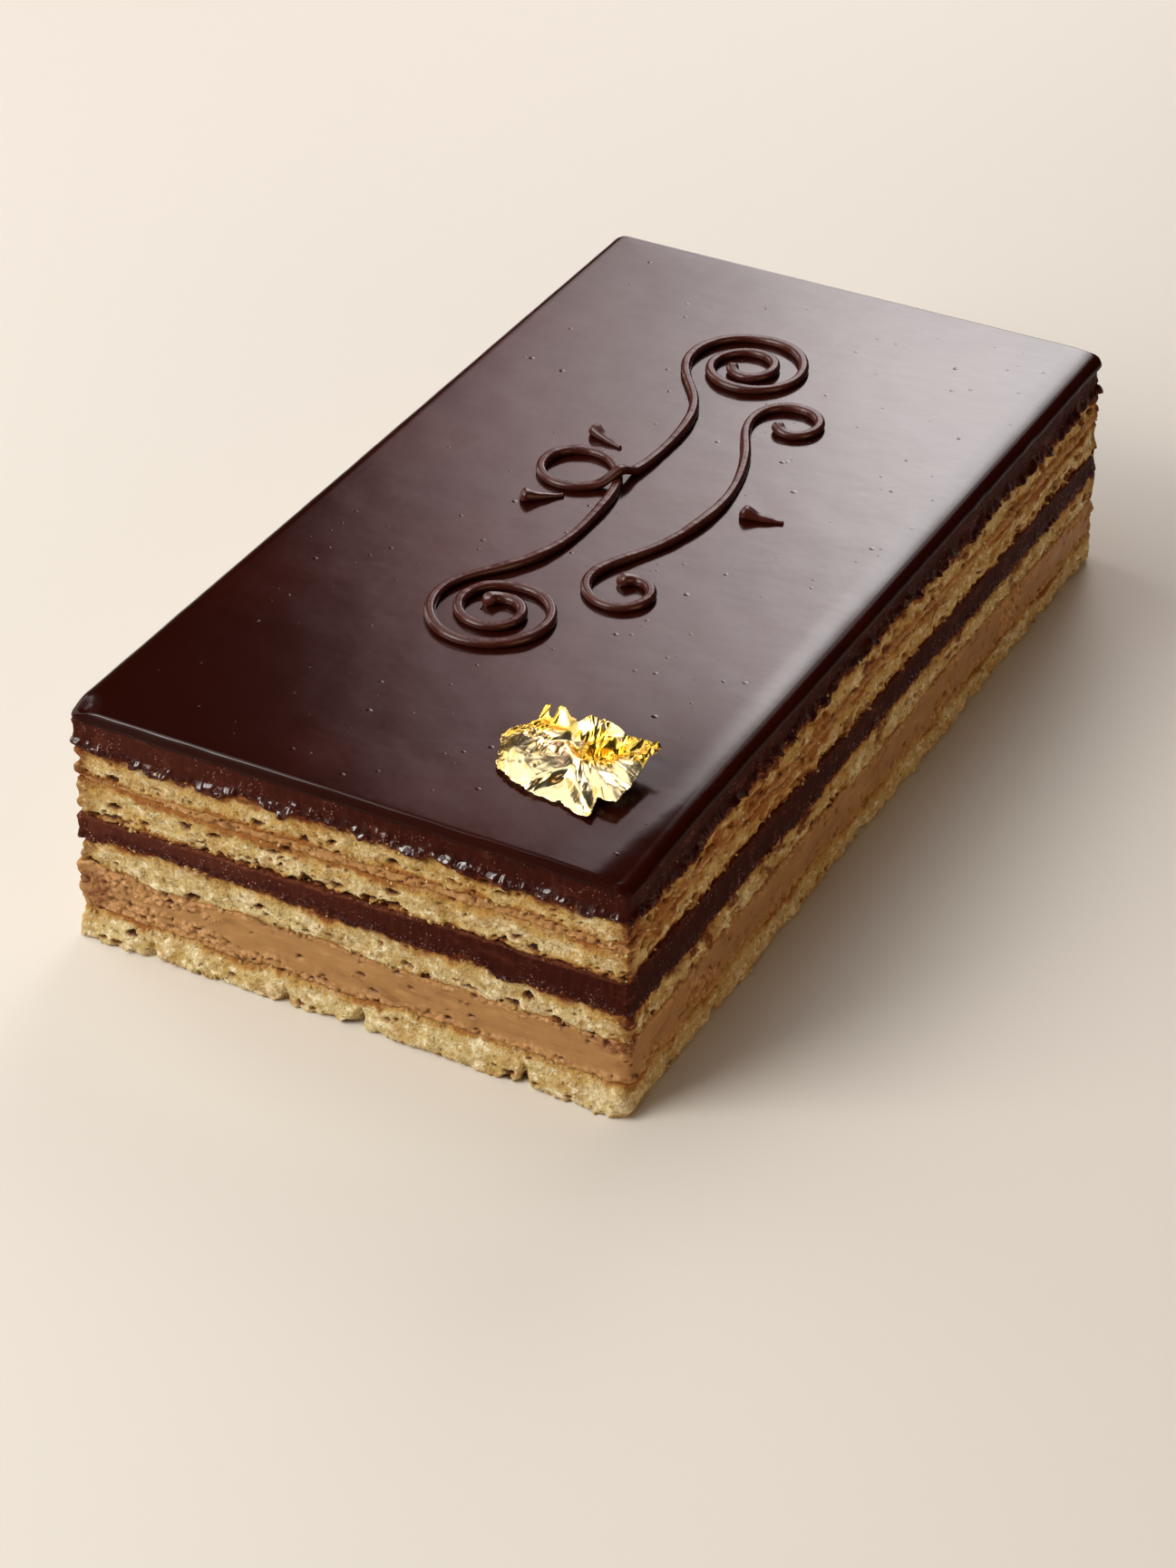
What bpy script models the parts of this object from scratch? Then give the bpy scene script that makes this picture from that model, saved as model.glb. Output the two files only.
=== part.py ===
"""An opera cake: sponge, coffee cream and ganache in nine cut layers, with a glazed top that carries
a piped flourish and a crumpled gold leaf.

Blender 4.5. Metres, +Z up. The origin is the middle of the underside, and +Y runs along the cake.
"""

import math
from collections import namedtuple

import bmesh
import bpy

MM = 0.001

# The cake as a whole.
LENGTH = 176 * MM  # of the glaze, along Y
WIDTH = 92 * MM  # of the glaze, along X
HEIGHT = 40 * MM  # from the underside to the top of the glaze
FLARE = 0.7 * MM  # how far the foot of a cut side stands out beyond its top
WOBBLE = 0.25 * MM  # how far a cut side wanders in and out along its length
GAP = 0.3 * MM  # left between pieces that touch
CELLS_ACROSS = 8  # of the grid that lets a layer follow its uneven beds
CELLS_ALONG = 16

# The glaze.
GLAZE_THICKNESS = 1.4 * MM
GLAZE_CORNER = 1.6 * MM  # radius of its upright corners
GLAZE_LIP = 0.9 * MM  # radius of its poured edge
ROUNDING_STEPS = 3

# The piping. The flourish is drawn flat, with u along the cake and v across it, then laid on the glaze.
LINE_RADIUS = 0.85 * MM
BEAD_RADIUS = 1.2 * MM  # where the hand starts or stops
TIP_RADIUS = 0.5 * MM  # where a drop is drawn off to a point
BEAD_LENGTH = 4.0 * MM  # along the line, from the bead's end to where the line has its own radius
LINE_SWELL = 0.08  # how much the hand's pace thickens and thins the line
SWELL_LENGTH = 23 * MM
POINT_SPACING = 2.3 * MM
END_SPACING = 0.45 * MM
CROSSING_SPAN = 4.5 * MM  # half the length over which a line climbs over an earlier one
FLOURISH_SCALE = 0.93
FLOURISH_MIDDLE = (0.0, 9.0 * MM)  # x and y of its own origin on the glaze

# The gold leaf.
LEAF_MIDDLE = (25.7 * MM, -68.0 * MM)
LEAF_SIDE = 20 * MM
LEAF_TURN = math.radians(14)
LEAF_THICKNESS = 0.2 * MM
LEAF_CELLS = 12
LEAF_REST = 0.5 * MM  # the leaf's lowest point above the glaze

# A bed is the surface between two layers. Heights are at the middle of the cake; lean is added at the +Y
# end and taken off at the -Y end, ends is added at both, and ripple is how far the bed waves up and down.
Bed = namedtuple("Bed", "height lean ends ripple phase")
BEDS = (
    Bed(0.0, 0.0, 0.0, 0.0, 0.0),
    Bed(5.2 * MM, -0.1 * MM, 0.2 * MM, 0.40 * MM, 0.6),
    Bed(12.6 * MM, -0.1 * MM, -0.1 * MM, 0.30 * MM, 2.1),
    Bed(18.2 * MM, 0.1 * MM, -0.1 * MM, 0.25 * MM, 4.4),
    Bed(22.6 * MM, 0.1 * MM, -0.2 * MM, 0.25 * MM, 3.7),
    Bed(27.5 * MM, -0.1 * MM, -0.1 * MM, 0.20 * MM, 5.2),
    Bed(29.5 * MM, 0.1 * MM, 0.1 * MM, 0.25 * MM, 5.6),
    Bed(34.1 * MM, 0.1 * MM, -0.2 * MM, 0.30 * MM, 1.3),
    Bed(HEIGHT - GLAZE_THICKNESS, 0.0, 0.0, 0.0, 0.0),
)

SPONGE = ("sponge", (0.62, 0.43, 0.17), 0.9, 0.0)
CREAM = ("coffee_cream", (0.42, 0.22, 0.08), 0.55, 0.0)
GANACHE = ("ganache", (0.045, 0.013, 0.007), 0.45, 0.0)
GLAZE = ("glaze", (0.022, 0.005, 0.003), 0.15, 0.0)
PIPING = ("piping", (0.05, 0.014, 0.009), 0.35, 0.0)
GOLD = ("gold", (0.9, 0.62, 0.18), 0.2, 1.0)

# Name, finish and how far the layer's sides stand in from the cake's outline, from the bottom up.
LAYERS = (
    ("sponge_base", SPONGE, 0.0),
    ("coffee_cream_lower", CREAM, 0.3 * MM),
    ("sponge_second", SPONGE, 0.4 * MM),
    ("ganache_middle", GANACHE, 0.3 * MM),
    ("sponge_third", SPONGE, 0.5 * MM),
    ("coffee_cream_upper", CREAM, 0.4 * MM),
    ("sponge_top", SPONGE, 0.4 * MM),
    ("ganache_top", GANACHE, 0.5 * MM),
)

# A stroke is a start, a heading in degrees and bends: each is a length in millimetres and the line's
# curvature at its end, in degrees a millimetre, which changes evenly in between.
FLOURISH_START = (0.0, 21.0)
FLOURISH_HEADING = 180.0
FLOURISH_BENDS = (
    (0, 9.2), (11, 8.8), (10, 3.0), (12, 0.3), (11, 1.8), (10, 2.4), (5, 0.0),
    (8, -4.6), (13, -5.4), (21, -5.8), (21, -7.4), (19, -10.5), (12, -15.0), (5, -24.0),
)  # fmt: skip
SWAG_START = (0.0, -12.5)
SWAG_HEADING = 0.0
SWAG_BENDS = (
    (0, 1.0), (11, 1.4), (9, 1.3), (6, -1.5), (8, -8.0), (10, -10.0), (11, -14.0), (6, -24.0),
)  # fmt: skip
DROP_BENDS = ((0, 2.0), (8, 2.0))
DROPS = (
    ("piped_drop_left", (-13.5, 19.0), -60.0),
    ("piped_drop_right", (13.5, 19.0), -120.0),
    ("piped_drop_foot", (0.0, -16.5), -90.0),
)

# Folds of the gold leaf: where the fold line passes, its direction in degrees, how high it stands and how
# wide its flank is. Places and sizes are shares of the leaf's side.
Fold = namedtuple("Fold", "place direction rise flank")
LEAF_FOLDS = (
    Fold((0.05, 0.00), 62, 0.10, 0.10),
    Fold((-0.28, 0.05), 20, 0.07, 0.12),
    Fold((0.30, 0.18), -35, 0.12, 0.09),
    Fold((0.02, 0.42), 5, 0.12, 0.08),
    Fold((0.24, -0.30), 80, 0.07, 0.10),
)


def clear_scene():
    """Remove every object that the scene starts with."""
    for obj in list(bpy.data.objects):
        bpy.data.objects.remove(obj)


def make_material(finish):
    """Return the material for a finish of (name, colour, roughness, metallic), made once."""
    name, colour, roughness, metallic = finish
    material = bpy.data.materials.get(name)
    if material is None:
        material = bpy.data.materials.new(name)
        material.use_nodes = True
        shader = material.node_tree.nodes["Principled BSDF"]
        shader.inputs["Base Color"].default_value = (*colour, 1.0)
        shader.inputs["Roughness"].default_value = roughness
        shader.inputs["Metallic"].default_value = metallic
    return material


def add_object(name, data, finish, collection):
    """Put data in the collection as a named object that wears the finish."""
    data.materials.append(make_material(finish))
    obj = bpy.data.objects.new(name, data)
    collection.objects.link(obj)
    return obj


def bed_height(bed, x, y):
    """Return the height of a bed at a place on the cake."""
    along = y / (LENGTH / 2)
    wave = 0.6 * math.sin(2 * math.pi * x / (61 * MM) + bed.phase)
    wave += 0.4 * math.sin(2 * math.pi * y / (47 * MM) + 1.7 * bed.phase)
    return bed.height + bed.lean * along + bed.ends * along**2 + bed.ripple * wave


def side_spread(z, turn):
    """Return how far a cut side stands out beyond the glaze's outline at a height and a place round it."""
    return FLARE * (1 - z / HEIGHT) + WOBBLE * math.sin(5 * turn + z / (7 * MM))


def make_layer(name, finish, inset, floor, ceiling, collection):
    """Make one layer as a gridded block whose top and underside follow their beds."""
    mesh_edit = bmesh.new()
    bmesh.ops.create_cube(mesh_edit, size=1.0)
    for axis, cells in ((0, CELLS_ACROSS), (1, CELLS_ALONG)):
        edges = [
            edge
            for edge in mesh_edit.edges
            if abs(edge.verts[0].co[axis] - edge.verts[1].co[axis]) > 0.9
        ]
        bmesh.ops.subdivide_edges(mesh_edit, edges=edges, cuts=cells - 1, use_grid_fill=True)
    for vertex in mesh_edit.verts:
        above = vertex.co.z > 0
        x, y = vertex.co.x * WIDTH, vertex.co.y * LENGTH
        z = bed_height(ceiling, x, y) - GAP / 2 if above else bed_height(floor, x, y)
        if not above and floor is not BEDS[0]:
            z += GAP / 2
        spread = side_spread(z, math.atan2(y, x)) - inset
        vertex.co = (
            x * (1 + 2 * spread / WIDTH),
            y * (1 + 2 * spread / LENGTH),
            z,
        )
    mesh = bpy.data.meshes.new(name)
    mesh_edit.to_mesh(mesh)
    mesh_edit.free()
    return add_object(name, mesh, finish, collection)


def make_glaze(collection):
    """Make the poured glaze: a thin block with round upright corners and a rounded lip."""
    mesh_edit = bmesh.new()
    bmesh.ops.create_cube(mesh_edit, size=1.0)
    floor = HEIGHT - GLAZE_THICKNESS + GAP / 2
    for vertex in mesh_edit.verts:
        above = vertex.co.z > 0
        vertex.co = (vertex.co.x * WIDTH, vertex.co.y * LENGTH, HEIGHT if above else floor)
    middle = (floor + HEIGHT) / 2
    uprights = [
        edge
        for edge in mesh_edit.edges
        if (edge.verts[0].co.z - middle) * (edge.verts[1].co.z - middle) < 0
    ]
    bmesh.ops.bevel(
        mesh_edit,
        geom=uprights,
        offset=GLAZE_CORNER,
        offset_type="OFFSET",
        segments=ROUNDING_STEPS,
        profile=0.5,
        affect="EDGES",
    )
    rim = [edge for edge in mesh_edit.edges if all(v.co.z > middle for v in edge.verts)]
    bmesh.ops.bevel(
        mesh_edit,
        geom=rim,
        offset=GLAZE_LIP,
        offset_type="OFFSET",
        segments=ROUNDING_STEPS,
        profile=0.5,
        affect="EDGES",
    )
    mesh = bpy.data.meshes.new("chocolate_glaze")
    mesh_edit.to_mesh(mesh)
    mesh_edit.free()
    glaze = add_object("chocolate_glaze", mesh, GLAZE, collection)
    mesh.shade_smooth()
    mesh.set_sharp_from_angle(angle=math.radians(40))
    return glaze


def curvature_at(bends, distance):
    """Return the curvature of a stroke at a distance along it, in degrees a millimetre."""
    passed = bends[0][0]
    before = bends[0][1]
    for length, curvature in bends[1:]:
        if distance <= passed + length:
            return before + (curvature - before) * (distance - passed) / length
        passed += length
        before = curvature
    return before


def walk_stroke(start, heading, bends, step=0.25):
    """Follow a stroke's bends from its start and return its points, one step apart, in millimetres."""
    u, v = start
    angle = math.radians(heading)
    points = [(u, v)]
    total = sum(length for length, _ in bends)
    steps = round(total / step)
    stride = total / steps
    for index in range(steps):
        half_turn = math.radians(curvature_at(bends, (index + 0.5) * stride)) * stride / 2
        angle += half_turn
        u += math.cos(angle) * stride
        v += math.sin(angle) * stride
        angle += half_turn
        points.append((u, v))
    return points


def mirrored(half):
    """Join a half stroke that starts on the axis to its mirror image, which comes first."""
    return [(-u, v) for u, v in reversed(half)] + half[1:]


def to_glaze(points):
    """Lay flat points in millimetres on the glaze, as x and y in metres."""
    scale = FLOURISH_SCALE * MM
    return [
        (FLOURISH_MIDDLE[0] - v * scale, FLOURISH_MIDDLE[1] + u * scale) for u, v in points
    ]


def distances_along(points):
    """Return the distance of each point from the first, along the line."""
    distances = [0.0]
    for before, after in zip(points, points[1:]):
        distances.append(distances[-1] + math.dist(before, after))
    return distances


def place_at(points, distances, wanted):
    """Return the point of the line at a distance along it."""
    for index in range(1, len(points)):
        if distances[index] >= wanted:
            part = (wanted - distances[index - 1]) / (distances[index] - distances[index - 1])
            return tuple(a + (b - a) * part for a, b in zip(points[index - 1], points[index]))
    return points[-1]


def line_radius(distance, total, end_radius):
    """Return the piped line's radius: a bead where it starts, its end's radius where it stops."""
    radius = LINE_RADIUS * (1 + LINE_SWELL * math.sin(2 * math.pi * distance / SWELL_LENGTH))
    for end, from_end in ((BEAD_RADIUS, distance), (end_radius, total - distance)):
        radius += (end - LINE_RADIUS) * max(0.0, 1 - from_end / BEAD_LENGTH)
    from_end = min(distance, total - distance)
    if from_end < radius:
        radius *= math.sqrt(max(0.04, 1 - (1 - from_end / radius) ** 2))
    return radius


def crossing_rise(distance, crossing):
    """Return how far a line is lifted where it climbs over an earlier stretch of itself."""
    if crossing is None or abs(distance - crossing) >= CROSSING_SPAN:
        return 0.0
    share = math.cos(math.pi / 2 * (distance - crossing) / CROSSING_SPAN) ** 2
    return (2 * LINE_RADIUS * (1 + LINE_SWELL) + GAP) * share


def make_piped_line(name, flat_points, collection, end_radius=BEAD_RADIUS, crossing=None):
    """Make a piped line along points on the glaze. crossing is where along it the line climbs over itself."""
    route = to_glaze(flat_points)
    distances = distances_along(route)
    total = distances[-1]
    end = min(BEAD_LENGTH, total / 3)
    inner = max(1, round((total - 2 * end) / POINT_SPACING))
    steps = round(end / END_SPACING)
    stops = [end * i / steps for i in range(steps)]
    stops += [end + (total - 2 * end) * i / inner for i in range(inner)]
    stops += [total - end * (steps - i) / steps for i in range(steps + 1)]
    curve = bpy.data.curves.new(name, "CURVE")
    curve.dimensions = "3D"
    curve.bevel_depth = 1.0
    curve.bevel_resolution = 2
    curve.use_fill_caps = True
    spline = curve.splines.new("POLY")
    spline.points.add(len(stops) - 1)
    for point, stop in zip(spline.points, stops):
        x, y = place_at(route, distances, stop)
        radius = line_radius(stop, total, end_radius)
        z = HEIGHT + GAP + radius + crossing_rise(stop, crossing)
        point.co = (x, y, z, 1.0)
        point.radius = radius
    return add_object(name, curve, PIPING, collection)


def make_flourish(collection):
    """Make the long piped line: a scroll at each end and a loop between them that crosses itself."""
    half = walk_stroke(FLOURISH_START, FLOURISH_HEADING, FLOURISH_BENDS)
    points = mirrored(half)
    route = to_glaze(points)
    middle = len(half) - 1
    # The half line leaves the loop's top to the left, and meets the axis again where the two halves cross.
    cross_index = next(i for i in range(20, len(half)) if half[i - 1][0] < 0 <= half[i][0])
    crossing = distances_along(route)[middle + cross_index]
    make_piped_line("piped_flourish", points, collection, crossing=crossing)


def make_swag(collection):
    """Make the shorter piped line that hangs under the flourish."""
    half = walk_stroke(SWAG_START, SWAG_HEADING, SWAG_BENDS)
    make_piped_line("piped_swag", mirrored(half), collection)


def make_drops(collection):
    """Make the short tapering dashes that fill the corners of the flourish."""
    for name, start, heading in DROPS:
        make_piped_line(name, walk_stroke(start, heading, DROP_BENDS), collection, TIP_RADIUS)


def leaf_height(across, along):
    """Return the gold leaf's height above its rest, both places being shares of its side."""
    height = 0.0
    for fold in LEAF_FOLDS:
        direction = math.radians(fold.direction)
        beside = (across - fold.place[0]) * math.sin(direction)
        beside -= (along - fold.place[1]) * math.cos(direction)
        height += fold.rise * math.exp(-abs(beside) / fold.flank)
    return height


def make_gold_leaf(collection):
    """Make the crumpled leaf from a grid with a torn outline, folded and given its thickness."""
    mesh_edit = bmesh.new()
    bmesh.ops.create_grid(mesh_edit, x_segments=LEAF_CELLS, y_segments=LEAF_CELLS, size=0.5)
    for vertex in mesh_edit.verts:
        across, along = vertex.co.x, vertex.co.y
        edge = max(abs(across), abs(along)) * 2
        turn = math.atan2(along, across)
        torn = 1 + edge**3 * (0.06 * math.sin(3 * turn + 0.7) + 0.05 * math.sin(8 * turn) - 0.04)
        vertex.co = (
            across * torn * LEAF_SIDE,
            along * torn * LEAF_SIDE,
            leaf_height(across, along) * LEAF_SIDE,
        )
    lowest = min(vertex.co.z for vertex in mesh_edit.verts)
    for vertex in mesh_edit.verts:
        vertex.co.z -= lowest
    bmesh.ops.recalc_face_normals(mesh_edit, faces=mesh_edit.faces)
    mesh = bpy.data.meshes.new("gold_leaf")
    mesh_edit.to_mesh(mesh)
    mesh_edit.free()
    leaf = add_object("gold_leaf", mesh, GOLD, collection)
    leaf.location = (*LEAF_MIDDLE, HEIGHT + LEAF_REST)
    leaf.rotation_euler = (0.0, 0.0, LEAF_TURN)
    thickness = leaf.modifiers.new("thickness", "SOLIDIFY")
    thickness.thickness = LEAF_THICKNESS
    thickness.offset = 0.0
    return leaf


def main():
    """Build the cake from the plate up."""
    clear_scene()
    collection = bpy.data.collections.new("opera_cake")
    bpy.context.scene.collection.children.link(collection)
    for index, (name, finish, inset) in enumerate(LAYERS):
        make_layer(name, finish, inset, BEDS[index], BEDS[index + 1], collection)
    make_glaze(collection)
    make_flourish(collection)
    make_swag(collection)
    make_drops(collection)
    make_gold_leaf(collection)


main()
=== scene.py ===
"""The looks of an opera cake: crumb, cream, ganache, a poured glaze, a piped flourish and a gold leaf.

Sizes are in millimetres in the classes below, and become metres where a mesh is made.
"""

from __future__ import annotations

import itertools
import logging
import math
from dataclasses import dataclass
from dataclasses import field
from enum import Enum
from functools import partial
from typing import Any
from typing import ClassVar

import bmesh
import bpy
import numpy as np
from mathutils import Matrix
from mathutils import Vector
from mathutils.bvhtree import BVHTree
from mathutils.geometry import delaunay_2d_cdt


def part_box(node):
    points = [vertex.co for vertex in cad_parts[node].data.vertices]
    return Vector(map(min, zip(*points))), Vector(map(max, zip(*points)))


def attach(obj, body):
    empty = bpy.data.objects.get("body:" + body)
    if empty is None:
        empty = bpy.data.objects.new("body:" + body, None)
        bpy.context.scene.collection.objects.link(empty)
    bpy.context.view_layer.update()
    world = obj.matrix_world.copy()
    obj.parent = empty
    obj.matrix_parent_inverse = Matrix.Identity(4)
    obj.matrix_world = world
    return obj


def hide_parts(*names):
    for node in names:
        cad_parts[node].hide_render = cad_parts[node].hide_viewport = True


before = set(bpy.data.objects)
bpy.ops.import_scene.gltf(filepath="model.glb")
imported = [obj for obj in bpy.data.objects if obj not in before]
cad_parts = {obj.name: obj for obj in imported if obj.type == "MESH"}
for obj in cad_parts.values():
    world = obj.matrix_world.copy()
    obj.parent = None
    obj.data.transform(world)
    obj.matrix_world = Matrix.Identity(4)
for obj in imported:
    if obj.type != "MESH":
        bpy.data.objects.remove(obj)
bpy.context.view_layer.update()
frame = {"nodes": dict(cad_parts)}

logger = logging.getLogger("opera_cake")

MM = 0.001
BODY = "root"
BAKE_MAP = "OFBake"

CELL_PRIMES = np.array([73856093, 19349663, 83492791])
SEED_PRIME = 668265263

Array = np.ndarray
Colour = tuple[float, float, float, float]
Pair = tuple[float, float]
Triple = tuple[float, float, float]
Size = float | Triple
Pairs = tuple[Pair, ...]
Triples = tuple[Triple, ...]
Blots = tuple[tuple[float, float, float, float], ...]
Material = bpy.types.Material
Socket = bpy.types.NodeSocket


def paint(red: int, green: int, blue: int) -> Colour:
    """Turn a screen colour into the linear one that a shader takes.

    Args:
        red: Red, from 0 to 255.
        green: Green, from 0 to 255.
        blue: Blue, from 0 to 255.

    Returns:
        The linear colour, opaque.
    """
    shares = [channel / 255 for channel in (red, green, blue)]
    linear = [s / 12.92 if s <= 0.04045 else ((s + 0.055) / 1.055) ** 2.4 for s in shares]
    return (*linear, 1)


# Noise over arrays of points.


def draw(cells: Array, seed: int) -> Array:
    """Give every cell of a grid three random numbers of its own.

    Args:
        cells: Whole-numbered cell places, in the last axis.
        seed: Which set of draws.

    Returns:
        Numbers from 0 to 1, shaped as the cells are.
    """
    mixed = np.bitwise_xor.reduce(cells.astype(np.int64) * CELL_PRIMES, axis=-1) + seed * SEED_PRIME
    draws = []
    for turn in range(3):
        mixed = (mixed ^ (mixed >> 15)) & 0xFFFFFFFF
        mixed = (mixed * 0x2C1B3C6D + turn * 0x3C6EF372) & 0xFFFFFFFF
        mixed = mixed ^ (mixed >> 12)
        mixed = (mixed * 0x297A2D39) & 0xFFFFFFFF
        mixed = mixed ^ (mixed >> 15)
        draws.append(mixed / 2**32)
    return np.stack(draws, axis=-1)


def beside(*parts: Array | float) -> Array:
    """Set arrays side by side in a new last axis."""
    return np.stack(np.broadcast_arrays(*parts), axis=-1)


def swells(points: Array, size: Size, seed: int) -> Array:
    """Work out smooth noise.

    Args:
        points: Places in millimetres, in the last axis.
        size: How far apart the swells are, the same each way or one size for each axis.
        seed: Which noise.

    Returns:
        Numbers of about -1 to 1, one for each point.
    """
    place = points / size
    cell = np.floor(place)
    inside = place - cell
    fade = inside**3 * (inside * (inside * 6 - 15) + 10)
    total = np.zeros(points.shape[:-1])
    for corner in itertools.product((0, 1), repeat=3):
        slopes = draw(cell + corner, seed) * 2 - 1
        share = np.prod(np.where(np.array(corner) == 1, fade, 1 - fade), axis=-1)
        total += share * np.sum(slopes * (inside - corner), axis=-1)
    return total * 1.7


def waves(points: Array, seed: int, *parts: tuple[float, Size, int]) -> Array:
    """Add up smooth noises.

    Args:
        points: Places in millimetres, in the last axis.
        seed: The seed that the noises count from.
        parts: Each noise's amount, its size and its own step from the seed.

    Returns:
        The sum, one number for each point.
    """
    return sum(amount * swells(points, size, seed + step) for amount, size, step in parts)


def clumps(points: Array, size: Size, seed: int) -> tuple[Array, Array]:
    """Find each point's nearest centre among centres scattered one to a cell.

    Args:
        points: Places in millimetres, in the last axis.
        size: How far apart the centres are, the same each way or one size for each axis.
        seed: Which centres.

    Returns:
        The distance to the centre, where 1 is a cell's side, and the centre's own three random numbers.
    """
    place = points / size
    cell = np.floor(place)
    nearest = np.full(points.shape[:-1], np.inf)
    owner = np.zeros(points.shape)
    for step in itertools.product((-1, 0, 1), repeat=3):
        neighbour = cell + step
        draws = draw(neighbour, seed)
        distance = np.linalg.norm(neighbour + draws - place, axis=-1)
        closer = distance < nearest
        nearest = np.where(closer, distance, nearest)
        owner = np.where(closer[..., None], draws, owner)
    return nearest, owner


def stirred(points: Array, size: float, reach: float, seed: int) -> Array:
    """Shift points by smooth noise, so that what is scattered over them loses its grid."""
    return points + reach * beside(*(swells(points, size, seed + axis) for axis in range(3)))


def domes(points: Array, size: Size, seed: int) -> Array:
    """Return the height of close-packed domes, from 0 between them to 1 on their tops."""
    nearest, _ = clumps(points, size, seed)
    return np.sqrt(np.clip(1 - (nearest / 0.85) ** 2, 0, 1))


def rise(value: Array, start: float | Array, end: float | Array) -> Array:
    """Ease from 0 at start to 1 at end, which may lie below start."""
    share = np.clip((value - start) / (end - start), 0, 1)
    return share * share * (3 - 2 * share)


def shoulder(distance: Array, radius: float) -> Array:
    """Return how far a surface has rolled back at a distance from its rounded edge."""
    inside = np.clip(radius - distance, 0, radius)
    return radius - np.sqrt(radius**2 - inside**2)


# Shader maths.


class Value:
    """A number that varies over a surface: a node's output, with arithmetic."""

    def __init__(self, sheet: Sheet, socket: Socket) -> None:
        """Wrap an output socket of a sheet's nodes."""
        self.sheet = sheet
        self.socket = socket

    def __add__(self, other: Value | float) -> Value:
        """Add a number or another value."""
        return self.sheet.maths("ADD", self, other)

    __radd__ = __add__

    def __sub__(self, other: Value | float) -> Value:
        """Take a number or another value away."""
        return self.sheet.maths("SUBTRACT", self, other)

    def __rsub__(self, other: float) -> Value:
        """Take this away from a number."""
        return self.sheet.maths("SUBTRACT", other, self)

    def __mul__(self, other: Value | float) -> Value:
        """Multiply by a number or another value."""
        return self.sheet.maths("MULTIPLY", self, other)

    __rmul__ = __mul__

    def clamped(self) -> Value:
        """Keep the value from 0 to 1."""
        return self.sheet.maths("ADD", self, 0, use_clamp=True)

    def rise(self, start: float, end: float) -> Value:
        """Ease from 0 at start to 1 at end, which may lie below start."""
        low, high, first, last = (start, end, 0, 1) if start < end else (end, start, 1, 0)
        sockets = {"Value": self, "From Min": low, "From Max": high, "To Min": first, "To Max": last}
        return self.sheet.value("ShaderNodeMapRange", {"interpolation_type": "SMOOTHSTEP"}, sockets)


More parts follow.
